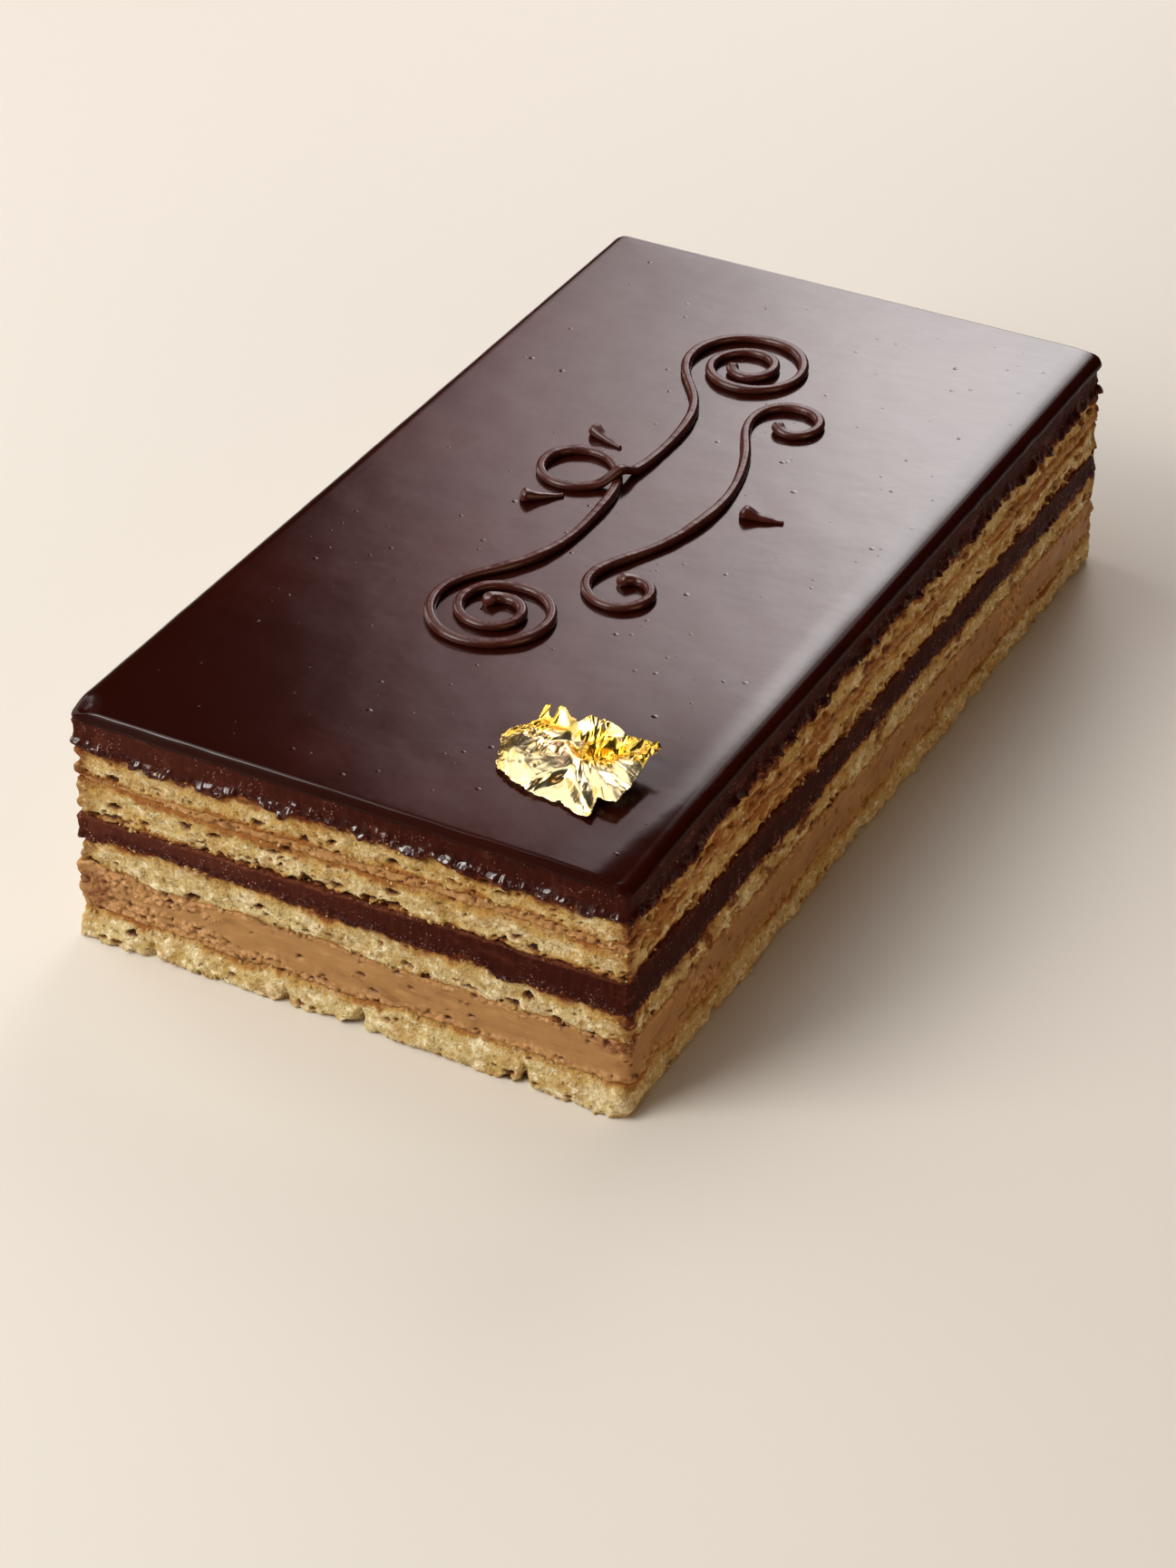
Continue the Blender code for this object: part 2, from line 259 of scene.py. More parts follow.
class Sheet:
    """The node tree of one material, round a Principled shader."""

    def __init__(self, name: str) -> None:
        """Start a material with this name."""
        self.material = bpy.data.materials.new(name)
        self.material.use_nodes = True
        self.tree = self.material.node_tree
        self.shader = self.tree.nodes["Principled BSDF"]
        self.place = self.node("ShaderNodeTexCoord").outputs["Object"]

    def node(
        self,
        kind: str,
        settings: dict[str, Any] | None = None,
        sockets: dict[str | int, Any] | None = None,
    ) -> bpy.types.Node:
        """Add a node.

        Args:
            kind: The node's type.
            settings: Its properties by name, set first. A ramp's are its stops: (place, colour) pairs.
            sockets: Values or links for its input sockets, by name or index.

        Returns:
            The new node.
        """
        node = self.tree.nodes.new(kind)
        for name, setting in (settings or {}).items():
            if name == "stops":
                self.set_stops(node.color_ramp, setting)
            else:
                setattr(node, name, setting)
        for name, value in (sockets or {}).items():
            self.feed(node.inputs[name], value)
        return node

    @staticmethod
    def set_stops(ramp: bpy.types.ColorRamp, stops: list[tuple[float, Colour]]) -> None:
        """Give a colour ramp its (place, colour) stops."""
        while len(ramp.elements) < len(stops):
            ramp.elements.new(1)
        for element, (place, colour) in zip(ramp.elements, stops):
            element.position = place
            element.color = colour

    def feed(self, socket: Socket, value: Any) -> None:
        """Link a value or a socket to an input, or set the input to a plain number or colour."""
        source = value.socket if isinstance(value, Value) else value
        if isinstance(source, Socket):
            self.tree.links.new(source, socket)
        else:
            socket.default_value = source

    def value(
        self, kind: str, settings: dict[str, Any], sockets: dict[str | int, Any], output: str | int = 0
    ) -> Value:
        """Add a node, as node does, and return one of its outputs."""
        return Value(self, self.node(kind, settings, sockets).outputs[output])

    def maths(
        self, operation: str, first: Value | float, second: Value | float, use_clamp: bool = False
    ) -> Value:
        """Add a Math node and return its result."""
        settings = {"operation": operation, "use_clamp": use_clamp}
        return self.value("ShaderNodeMath", settings, {0: first, 1: second})

    def scaled_place(self, size: Size, seed: float) -> Socket:
        """Return the place on the object with size millimetres as its unit, shifted by the seed."""
        sizes = size if isinstance(size, tuple) else (size, size, size)
        scale = tuple(1 / (MM * one) for one in sizes)
        shift = (seed * 17.3, seed * 5.9, seed * 11.1)
        sockets = {0: self.place, 1: scale, 2: shift}
        return self.node("ShaderNodeVectorMath", {"operation": "MULTIPLY_ADD"}, sockets).outputs[0]

    def noise(self, size: Size, seed: float = 0.0, detail: float = 2.0, roughness: float = 0.5) -> Value:
        """Add a noise.

        Args:
            size: About how far apart its swells are, in millimetres.
            seed: Which noise.
            detail: How many finer noises go on top.
            roughness: How strong the finer ones are.

        Returns:
            Numbers of about 0.25 to 0.75.
        """
        sockets = {
            "Vector": self.scaled_place(size, seed),
            "Scale": 1,
            "Detail": detail,
            "Roughness": roughness,
        }
        return self.value("ShaderNodeTexNoise", {}, sockets)

    def cells(self, size: Size, seed: float = 0.0) -> Value:
        """Return the distance to the nearest of centres scattered about size millimetres apart."""
        sockets = {"Vector": self.scaled_place(size, seed), "Scale": 1}
        return self.value("ShaderNodeTexVoronoi", {}, sockets, "Distance")

    def mark(self, name: str) -> Value:
        """Return a mesh's own mark, a number that was stored at its points."""
        return self.value("ShaderNodeAttribute", {"attribute_name": name}, {}, "Fac")

    def blend(self, first: Any, second: Any, share: Value | float) -> Socket:
        """Mix two colours, by the share of the second."""
        sockets = {0: share, 6: first, 7: second}
        return self.node("ShaderNodeMix", {"data_type": "RGBA"}, sockets).outputs[2]

    def coats(self, colour: Any, *over: tuple[Colour, Value]) -> Socket:
        """Lay colours over a first one, each by a share that is kept from 0 to 1.

        Args:
            colour: The colour underneath.
            over: Each colour that goes over what is there so far, and its share.

        Returns:
            The output socket of the last mix.
        """
        for coat, share in over:
            colour = self.blend(colour, coat, share)
        return colour

    def bump(self, height: Value, depth: float) -> Socket:
        """Return a normal for relief, with height 1 standing depth millimetres above height 0."""
        sockets = {"Height": height, "Distance": depth * MM, "Strength": 1}
        return self.node("ShaderNodeBump", {}, sockets).outputs[0]

    def finish(self, **inputs: Any) -> Material:
        """Feed the shader's own inputs, named with _ for spaces, and return the material."""
        for name, value in inputs.items():
            self.feed(self.shader.inputs[name.replace("_", " ").title().replace("Ior", "IOR")], value)
        return self.material


@dataclass(frozen=True)
class SpongeFinish:
    """Pale open crumb, golden where it was baked or soaked, with painted shade that browns its holes, pits
    and crevices and a painted highlight on its crests.
    """

    name: str = "almond_sponge"
    pale: Colour = paint(206, 184, 130)
    straw: Colour = paint(188, 152, 88)
    olive: Colour = paint(178, 150, 74)
    # light goes on in random patches, and on the crumb's crests as a painted highlight.
    light: Colour = paint(252, 244, 212)
    # gap goes on in random patches, and as painted shade in crevices, between grains and in pits.
    gap: Colour = paint(112, 66, 24)
    honey: Colour = paint(188, 146, 74)
    amber: Colour = paint(150, 90, 36)
    toasted: Colour = paint(92, 38, 14)
    # amber also tints the holes' rims and hole darkens their depths, both as painted shade.
    hole: Colour = paint(62, 28, 12)
    grain: float = 0.45
    grit: float = 0.18

    def material(self) -> Material:
        """Build the sponge's material.

        Returns:
            The material.
        """
        sheet = Sheet(self.name)
        patches = sheet.noise((7, 7, 3), seed=1, detail=3)
        tinge = sheet.noise((3.2, 3.2, 2), seed=8, detail=3)
        mottle = sheet.noise((1.6, 1.6, 1.2), seed=2, detail=5, roughness=0.68)
        fleck = sheet.noise((1.6, 1.6, 0.8), seed=3, detail=4, roughness=0.65)
        pores = sheet.noise((0.9, 0.9, 0.6), seed=9, roughness=0.6)
        grit = sheet.noise(self.grit, seed=6, roughness=0.6)
        grains = sheet.cells(self.grain, seed=5)
        crest, hole = sheet.mark("crest"), sheet.mark("hole")
        soak = (sheet.mark("soak") * (fleck * 2.6)).clamped()
        colour = sheet.coats(
            self.pale,
            (self.straw, patches.rise(0.4, 0.66) * 0.85),
            (self.olive, tinge.rise(0.52, 0.68) * 0.5),
            (self.light, mottle.rise(0.52, 0.64) * 0.7),
            (self.gap, mottle.rise(0.46, 0.32) * 0.45),
            # Painted highlight on the crumb's crests and painted shade in the crevices between them.
            (self.light, crest.rise(0.6, 1) * 0.5),
            (self.gap, crest.rise(0.36, 0.04) * 0.7),
            (self.honey, soak.rise(0, 0.5) * 0.8),
            (self.amber, soak.rise(0.35, 1) * 0.9),
            (self.toasted, (sheet.mark("toast") * fleck.rise(0.3, 0.55) * 1.4).clamped()),
            # Painted shade along the grains' borders and in the pits, where the bump below sinks.
            (self.gap, grains.rise(0.55, 0.85) * 0.25),
            (self.gap, pores.rise(0.34, 0.27) * 0.5),
            # Painted shade in the holes: amber at their rims, dark brown in their depths.
            (self.amber, hole.rise(0, 0.5) * 0.7),
            (self.hole, hole.rise(0.4, 1) * 0.9),
        )
        relief = sheet.bump((1 - grains) * 0.8 + grit * 0.4 + pores.rise(0.25, 0.4), 0.2)
        return sheet.finish(
            base_color=colour, roughness=0.8, normal=relief, specular_ior_level=0.2,
            subsurface_weight=0.2, subsurface_radius=(1, 0.55, 0.2), subsurface_scale=0.4 * MM,
        )


@dataclass(frozen=True)
class CreamFinish:
    """Coffee cream, smooth where the knife dragged it and granular where crumb got into it."""

    name: str = "coffee_cream"
    tan: Colour = paint(165, 120, 66)
    light: Colour = paint(184, 140, 84)
    dark: Colour = paint(126, 80, 36)
    # crumb is the paler crumb in the lumps and a painted highlight on their crests; gap is painted shade
    # between the lumps.
    crumb: Colour = paint(214, 166, 116)
    gap: Colour = paint(84, 38, 14)
    stain: Colour = paint(172, 124, 66)
    burnt: Colour = paint(122, 66, 26)
    # hollow is painted shade in the cream's holes.
    hollow: Colour = paint(98, 46, 18)

    def material(self) -> Material:
        """Build the cream's material.

        Returns:
            The material.
        """
        sheet = Sheet(self.name)
        drag = sheet.noise((9, 9, 1.6), seed=1, detail=4, roughness=0.6)
        blotch = sheet.noise((3.6, 3.6, 2.6), seed=5, detail=3)
        patches = drag * 0.5 + blotch * 0.5
        speck = sheet.noise(0.9, seed=2, detail=3, roughness=0.65)
        grainy, crest = sheet.mark("grainy"), sheet.mark("crest")
        colour = sheet.coats(
            self.tan,
            (self.light, patches.rise(0.5, 0.64) * 0.7),
            (self.dark, patches.rise(0.48, 0.34) * 0.6),
            # Lumps paler on their crests, part crumb colour and part painted highlight, with painted shade in
            # the gaps between them.
            (self.crumb, (grainy * crest.rise(0.6, 0.95) * speck.rise(0.4, 0.6)).clamped()),
            (self.gap, (grainy * crest.rise(0.72, 0.3)).clamped()),
            (self.stain, (sheet.mark("stain") * speck.rise(0.26, 0.5)).clamped()),
            (self.burnt, (sheet.mark("burnt") * speck.rise(0.36, 0.58)).clamped()),
            # Painted shade in the holes.
            (self.hollow, sheet.mark("hole").rise(0.2, 0.9)),
        )
        fine = sheet.noise((2.4, 2.4, 0.3), seed=3, detail=3)
        grit = sheet.noise(0.4, seed=4, detail=3, roughness=0.65)
        relief = sheet.bump(fine * 0.3 + grit * (0.2 + grainy * 0.9), 0.13)
        return sheet.finish(
            base_color=colour, roughness=0.48 + grainy * 0.2, normal=relief, specular_ior_level=0.4,
            subsurface_weight=0.25, subsurface_radius=(1, 0.55, 0.25), subsurface_scale=0.8 * MM,
        )


@dataclass(frozen=True)
class GanacheFinish:
    """Cut ganache: satin and streaked by the knife, wet and beaded along its lower edge."""

    name: str = "ganache"
    cut: Colour = paint(56, 17, 8)
    deep: Colour = paint(34, 9, 4)
    seep: Colour = paint(112, 50, 18)
    # Paler in random patches, and towards the left end as a painted sheen where the light grazes the cut.
    pale_tone_and_sheen: Colour = paint(104, 54, 38)
    wet: Colour = paint(48, 12, 8)
    # speck: pale specks on the wet crust, part crust and part painted glints.
    speck: Colour = paint(176, 128, 116)
    dust: Colour = paint(112, 62, 38)

    def material(self) -> Material:
        """Build the ganache's material.

        Returns:
            The material.
        """
        sheet = Sheet(self.name)
        drawn = sheet.noise((0.7, 0.7, 7), seed=1, detail=4, roughness=0.6)
        patch = sheet.noise((6, 6, 2.5), seed=2, detail=5, roughness=0.65)
        grit = sheet.noise(0.5, seed=5, detail=3, roughness=0.6)
        # Where pale specks go: random patches and the wet crust. They are part crust and part painted glints.
        where = sheet.noise((4, 4, 2), seed=4).rise(0.46, 0.6) + sheet.mark("crust")
        specks_and_glints = sheet.cells(0.45, seed=3).rise(0.36, 0.14) * sheet.noise(0.9, seed=8).rise(0.44, 0.6)
        wet, shine = sheet.mark("wet"), sheet.mark("shine")
        colour = sheet.coats(
            self.cut,
            (self.deep, (drawn.rise(0.48, 0.7) * 0.55 + patch.rise(0.5, 0.7) * 0.5).clamped()),
            (self.pale_tone_and_sheen, (patch.rise(0.46, 0.3) * 0.45 + drawn.rise(0.44, 0.3) * 0.2).clamped()),
            # Painted sheen, rising towards the left end.
            (self.pale_tone_and_sheen, (sheet.mark("pale_tone_and_sheen") * patch.rise(0.2, 0.6) * 0.8).clamped()),
            (self.wet, (wet * 0.92).clamped()),
            (self.dust, (sheet.mark("dust") * grit.rise(0.3, 0.6) * 0.8).clamped()),
            (self.seep, (sheet.mark("seep") * grit.rise(0.4, 0.6)).clamped()),
            # Pale specks, part crust and part painted glints.
            (self.speck, (specks_and_glints * where * 0.75).clamped()),
        )
        lines = sheet.noise((0.35, 0.35, 5), seed=6)
        crust = 1 - sheet.cells(0.5, seed=7)
        relief = sheet.bump(lines * (1 - wet) * 0.4 + grit * 0.3 + crust * wet * 0.6, 0.14)
        return sheet.finish(
            base_color=colour, roughness=(0.6 - wet * 0.3 + (grit - 0.5) * 0.1).clamped(), normal=relief,
            specular_ior_level=0.05, coat_weight=shine, coat_roughness=0.14, coat_ior=1.9,
        )


@dataclass(frozen=True)
class GlazeFinish:
    """Dark poured glaze, almost a mirror, with a little orange peel."""

    name: str = "chocolate_glaze"
    body: Colour = paint(39, 8, 3)
    thin: Colour = paint(52, 13, 6)

    def material(self) -> Material:
        """Build the glaze's material.

        Returns:
            The material.
        """
        sheet = Sheet(self.name)
        cloud = sheet.noise(24, seed=1, detail=3)
        colour = sheet.blend(self.body, self.thin, cloud.rise(0.45, 0.7) * 0.6)
        smear = sheet.noise((14, 5, 9), seed=2, detail=3)
        peel = sheet.noise(1.3, seed=3)
        brush = sheet.noise((6, 1.6, 6), seed=5, detail=4, roughness=0.6)
        dust = sheet.cells(2.8, seed=4).rise(0.06, 0.02)
        relief = sheet.bump(smear * 0.35 + peel * 0.05 + brush * 0.1 + dust * 0.25, 0.1)
        return sheet.finish(
            base_color=colour,
            roughness=(0.16 + (smear - 0.5) * 0.15).clamped(),
            normal=relief,
            specular_ior_level=0.03,
            coat_weight=sheet.mark("gloss") * (0.91 + brush * 0.18),
            coat_roughness=0.14,
        )


@dataclass(frozen=True)
class PipingFinish:
    """Piped chocolate, satin, with fine lines along the way it was drawn."""

    name: str = "piped_chocolate"
    body: Colour = paint(68, 27, 20)
    pale: Colour = paint(86, 41, 32)

    def material(self) -> Material:
        """Build the piping's material.

        Returns:
            The material.
        """
        sheet = Sheet(self.name)
        cloud = sheet.noise(3, seed=1, detail=3)
        colour = sheet.blend(self.body, self.pale, cloud.rise(0.45, 0.7) * 0.6)
        grit = sheet.noise(0.5, seed=2)
        return sheet.finish(
            base_color=colour,
            roughness=0.22 + grit * 0.12,
            normal=sheet.bump(grit, 0.014),
            specular_ior_level=0.42,
        )


@dataclass(frozen=True)
class GoldFinish:
    """Beaten gold, bright on its faces, with a deeper gold painted into its folds and hollows as shade."""

    name: str = "gold_leaf"
    gold: Colour = (1.0, 0.82, 0.47, 1.0)
    # deep is painted shade in the folds, the hollow and parts of the flaps.
    deep: Colour = (0.86, 0.52, 0.06, 1.0)

    def material(self) -> Material:
        """Build the leaf's material.

        Returns:
            The material.
        """
        sheet = Sheet(self.name)
        wrinkle = sheet.noise((0.9, 2.4, 1.6), seed=1, detail=3)
        crease = sheet.noise(0.3, seed=2)
        return sheet.finish(
            # Painted shade: deeper gold by the fold mark.
            base_color=sheet.blend(self.gold, self.deep, sheet.mark("fold")),
            roughness=0.17 + crease * 0.12,
            normal=sheet.bump(wrinkle + crease * 0.1, 0.05),
            metallic=1,
        )


# Mesh making.


def hang(name: str, data: bpy.types.ID) -> bpy.types.Object:
    """Put a mesh, a light or a camera into the scene."""
    thing = bpy.data.objects.new(name, data)
    bpy.context.scene.collection.objects.link(thing)
    return thing


def circle(count: int) -> Array:
    """Return evenly spaced angles, once round."""
    return np.arange(count) * 2 * math.pi / count


def in_strips(count: int, strips: int) -> tuple[Array, Array, Array]:
    """Deal a row of things out to strips of the bake layout, in order.

    Args:
        count: How many things there are.
        strips: How many strips.

    Returns:
        The strip of each thing, and where the thing starts and ends along it, from 0 to 1.
    """
    index = np.arange(count)
    owner = index * strips // count
    starts, lengths = np.searchsorted(owner, np.arange(strips)), np.bincount(owner)
    left, right = (index - starts[owner]) / lengths[owner], (index - starts[owner] + 1) / lengths[owner]
    return owner, left, right


def in_tiles(count: int, spots: Array) -> Array:
    """Repeat a small layout in a square of tiles.

    Args:
        count: How many tiles.
        spots: The places in one tile.

    Returns:
        The places in all the tiles, one after the other.
    """
    side = math.ceil(math.sqrt(count))
    index = np.arange(count)
    home = beside(index % side, index // side) / side
    return (home[:, None] + spots[None] / side).reshape(-1, 2)


@dataclass
class Draft:
    """A mesh on its way to becoming a piece: its points, faces, marks and bake layout."""

    name: str
    points: Array
    faces: list[Array]
    layout: list[Array]
    marks: dict[str, Array] = field(default_factory=dict)

    def object(self, finish: Material, slot: str, *nodes: str) -> bpy.types.Object:
        """Make the piece and tie it to the frame.

        Args:
            finish: Its material.
            slot: The name of its material slot. It is not used.
            nodes: The CAD nodes that it stands for.

        Returns:
            The piece.
        """
        mesh = bpy.data.meshes.new(self.name)
        loops = np.concatenate([block.ravel() for block in self.faces])
        sizes = np.concatenate([np.full(len(block), block.shape[1]) for block in self.faces])
        starts = np.concatenate([[0], np.cumsum(sizes)[:-1]])
        mesh.vertices.add(len(self.points))
        mesh.vertices.foreach_set("co", (self.points * MM).astype(np.float32).ravel())
        mesh.loops.add(len(loops))
        mesh.loops.foreach_set("vertex_index", loops.astype(np.int32))
        mesh.polygons.add(len(sizes))
        mesh.polygons.foreach_set("loop_start", starts.astype(np.int32))
        mesh.update(calc_edges=True)
        mesh.validate()
        mesh.shade_smooth()
        layout = mesh.uv_layers.new(name=BAKE_MAP)
        spots = np.concatenate([block.reshape(-1, 2) for block in self.layout])
        layout.data.foreach_set("uv", spots.astype(np.float32).ravel())
        for name, values in self.marks.items():
            attribute = mesh.attributes.new(name, "FLOAT", "POINT")
            attribute.data.foreach_set("value", values.astype(np.float32).ravel())
        mesh.materials.append(finish)
        piece = hang(self.name, mesh)
        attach(piece, BODY)
        if nodes:
            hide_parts(*nodes)
        logger.info("%s: %d faces, for %s", self.name, len(sizes), ", ".join(nodes) or "itself")
        return piece


def grid_faces(across: int, up: int, closed: bool) -> Array:
    """List the quads of a grid of points numbered across * row_length + up.

    Args:
        across: How many columns of points.
        up: How many points in each column.
        closed: Whether the last column joins the first.

    Returns:
        The quads, a row each, counter-clockwise for columns that run to the right.
    """
    columns = np.arange(across if closed else across - 1)
    rows = np.arange(up - 1)
    left = columns[:, None] * up + rows
    right = ((columns + 1) % across)[:, None] * up + rows
    return beside(left, right, right + 1, left + 1).reshape(-1, 4)


@dataclass(frozen=True)
class Outline:
    """Columns round the cake's cut sides, counter-clockwise from the left end of the front."""

    place: Array
    facing: Array
    along: Array
    girth: float
    from_corner: Array

    @classmethod
    def around(cls, half_x: float, half_y: float, radius: float, step: float) -> Outline:
        """Set columns round a rectangle with rounded corners.

        Args:
            half_x: Half its size along X.
            half_y: Half its size along Y.
            radius: Its corners' radius.
            step: About how far apart the columns stand.

        Returns:
            The outline.
        """
        inner_x, inner_y = half_x - radius, half_y - radius
        corners = np.array([(1, -1), (1, 1), (-1, 1), (-1, -1)]) * (inner_x, inner_y)
        places, facings = [], []
        for side in range(4):
            angle = math.radians(90 * side - 90)
            facing = np.array([math.cos(angle), math.sin(angle)])
            start, end = corners[side - 1] + facing * radius, corners[side] + facing * radius
            count = round(np.linalg.norm(end - start) / step)
            shares = np.arange(count)[:, None] / count
            places.append(start + (end - start) * shares)
            facings.append(np.repeat(facing[None], count, axis=0))
            turns = max(2, round(radius * math.pi / 2 / step))
            angles = angle + math.pi / 2 * np.arange(turns) / turns
            around = beside(np.cos(angles), np.sin(angles))
            places.append(corners[side] + around * radius)
            facings.append(around)
        place, facing = np.concatenate(places), np.concatenate(facings)
        gaps = np.linalg.norm(np.roll(place, -1, axis=0) - place, axis=-1)
        along = np.concatenate([[0], np.cumsum(gaps)[:-1]])
        from_corner = np.linalg.norm(np.abs(place) - (half_x, half_y), axis=-1)
        return cls(place, facing, along, float(gaps.sum()), from_corner)

    @property
    def flat(self) -> Array:
        """Return the columns' places on the floor."""
        return np.column_stack([self.place, np.zeros(len(self.along))])

    @property
    def right(self) -> Array:
        """Return 1 for columns that face right, and 0 for those of the other sides."""
        return rise(self.facing[:, :1], 0.3, 0.9)


@dataclass(frozen=True)
class Sides:
    """What the solids say of one layer, a number for each column."""

    floor: Array
    ceiling: Array
    foot: Array
    head: Array


class Solid:
    """A CAD node that is measured by casting rays at it."""

    RAY_FROM: ClassVar[float] = 12.0  # beside the outline
    BELOW: ClassVar[float] = 10.0  # below the floor
    ABOVE: ClassVar[float] = 90.0  # above the floor, and clear of the cake
    INSIDE: ClassVar[float] = 2.0  # how far inside the outline heights are read
    STATION: ClassVar[int] = 16  # columns from one reading to the next
    CORNER: ClassVar[float] = 3.0  # no reading this near a corner

    def __init__(self, node: bpy.types.Object) -> None:
        """Make the node's faces ready for rays."""
        corners = [vertex.co / MM for vertex in node.data.vertices]
        self.tree = BVHTree.FromPolygons(corners, [face.vertices[:] for face in node.data.polygons])

    def reach(self, start: Vector, direction: Vector) -> float:
        """Return how far off the solid is, or nan where the ray misses it."""
        distance = self.tree.ray_cast(start, direction)[3]
        return math.nan if distance is None else distance

    def measure(self, outline: Outline) -> Sides:
        """Read the layer's heights and how far its sides stand out.

        Args:
            outline: The columns to read it at.

        Returns:
            Its floor and ceiling, and how far out of the outline its side is near each.
        """
        stations = np.arange(0, len(outline.along), self.STATION)
        stations = stations[outline.from_corner[stations] > self.CORNER]
        readings = []
        for index in stations:
            x, y = outline.place[index] - outline.facing[index] * self.INSIDE
            floor = self.reach(Vector((x, y, -self.BELOW)), Vector((0, 0, 1))) - self.BELOW
            ceiling = self.ABOVE - self.reach(Vector((x, y, self.ABOVE)), Vector((0, 0, -1)))
            facing = Vector((*outline.facing[index], 0))
            outside = Vector((*outline.place[index], 0)) + facing * self.RAY_FROM
            spread = []
            for share in (0.1, 0.9):
                outside.z = floor + (ceiling - floor) * share
                spread.append(self.RAY_FROM - self.reach(outside, -facing))
            readings.append((floor, ceiling, *spread))
        table = np.array(readings)
        known = ~np.isnan(table).any(axis=1)
        where = outline.along[stations][known]
        return Sides(*(np.interp(outline.along, where, row, period=outline.girth) for row in table[known].T))


@dataclass
class Layer:
    """One layer of the cake, lofted between two beds round the outline."""

    name: str
    outline: Outline
    sides: Sides
    seed: int
    row: float = 0.24  # the height of a row of faces
    stands: Pair = (0.5, 0.5)  # how far its left side stands out, at its foot and head
    joins: tuple[bool, bool] = (False, False)  # whether cream and crumb meet flush at its foot and head

    rests: ClassVar[bool] = False  # on the floor
    slot: ClassVar[str] = ""
    turned_in: ClassVar[Pairs] = ((0.4, 0.05), (1.4, 0.12), (5, 0.15))
    strips: ClassVar[int] = 6
    cap_share: ClassVar[float] = 0.13

    def __post_init__(self) -> None:
        """Lay out the cut side's points as they would be if the knife had left it flat."""
        sides = self.sides
        rows = round(float(np.mean(sides.ceiling - sides.floor)) / self.row) + 1
        share = np.linspace(0, 1, rows)
        self.z = sides.floor[:, None] + (sides.ceiling - sides.floor)[:, None] * share
        self.spread = sides.foot[:, None] + (sides.head - sides.foot)[:, None] * share
        self.above = self.z - sides.floor[:, None]
        self.below = sides.ceiling[:, None] - self.z
        flat = self.outline.place[:, None, :] + self.outline.facing[:, None, :] * self.spread[..., None]
        self.points = np.concatenate([flat, self.z[..., None]], axis=-1)
        self.surface = self.points

    def relief(self) -> tuple[Array, dict[str, Array]]:
        """Work out the cut side's relief, which each kind of layer does in its own way.

        Returns:
            How far the side stands out at each point, and the marks that its finish reads.
        """
        raise NotImplementedError

    def jut(self) -> Array:
        """Return how far the layer stands out of the left side."""
        left = rise(-self.outline.facing[:, :1], 0.3, 0.9)
        foot, head = self.stands
        even = foot + (head - foot) * self.above / (self.above + self.below)
        return left * (even + waves(self.points, 73, (0.4, (3, 3, 2.2), 0), (0.3, 1.1, 1)))

    def near_corner(self) -> Array:
        """Return 1 at the cake's upright corners, fading to 0 a few millimetres along its sides."""
        return rise(self.outline.from_corner, 3.5, 0.6)[:, None]

    def edge_points(self, turn: Pair, up: int) -> Array:
        """Turn the edge of the side in, under the layer or over it.

        Args:
            turn: How far in the points lie, and how far beyond the edge.
            up: -1 for under, 1 for over.

        Returns:
            The ring of points.
        """
        inset, beyond = turn
        edge = self.surface[:, -1 if up > 0 else 0]
        half = np.abs(self.outline.place).max(axis=0)
        ring = edge.copy()
        ring[:, :2] *= 1 - inset / half
        if up < 0 and self.rests:
            ring[:, 2] = 0
        else:
            ring[:, 2] += up * beyond
        return ring

    def draft(self) -> Draft:
        """Build the layer's closed skin.

        Returns:
            The draft.
        """
        out, marks = self.relief()
        even = waves(self.points, 71, (0.16, 2.6, 0), (0.14, 1.1, 1)) - 0.1 + self.jut()
        for distance, joined in zip((self.above, self.below), self.joins):
            if joined:
                out += (even - out) * rise(distance, 0.4, 0)
        self.surface = self.points.copy()
        self.surface[..., :2] += self.outline.facing[:, None, :] * out[..., None]
        under = [self.edge_points(turn, -1) for turn in reversed(self.turned_in)]
        over = [self.edge_points(turn, 1) for turn in self.turned_in]
        columns = np.concatenate([np.stack(under, axis=1), self.surface, np.stack(over, axis=1)], axis=1)
        count, rows = columns.shape[:2]
        points = np.concatenate([columns.reshape(-1, 3), self.middles(columns)])
        faces = [grid_faces(count, rows, closed=True), *self.caps(count, rows)]
        turned = len(self.turned_in)
        turns = ((0, 0), (turned, turned))
        wide = {name: np.pad(values, turns, mode="edge").ravel() for name, values in marks.items()}
        all_marks = {name: np.pad(values, (0, 2)) for name, values in wide.items()}
        return Draft(self.name, points, faces, self.lay_out(columns, turned), all_marks)

    @staticmethod
    def middles(columns: Array) -> Array:
        """Return the middle points of the underside and of the top."""
        return columns[:, [0, -1]].mean(axis=0)

    @staticmethod
    def caps(count: int, rows: int) -> tuple[Array, Array]:
        """Close the underside and the top round their middles.

        Args:
            count: How many columns there are.
            rows: How many points each has. The two middles are numbered after them.

        Returns:
            The triangles of the underside and of the top.
        """
        ring = np.arange(count) * rows
        following = np.roll(ring, -1)
        under = beside(following, ring, count * rows)
        return under, beside(ring + rows - 1, following + rows - 1, count * rows + 1)

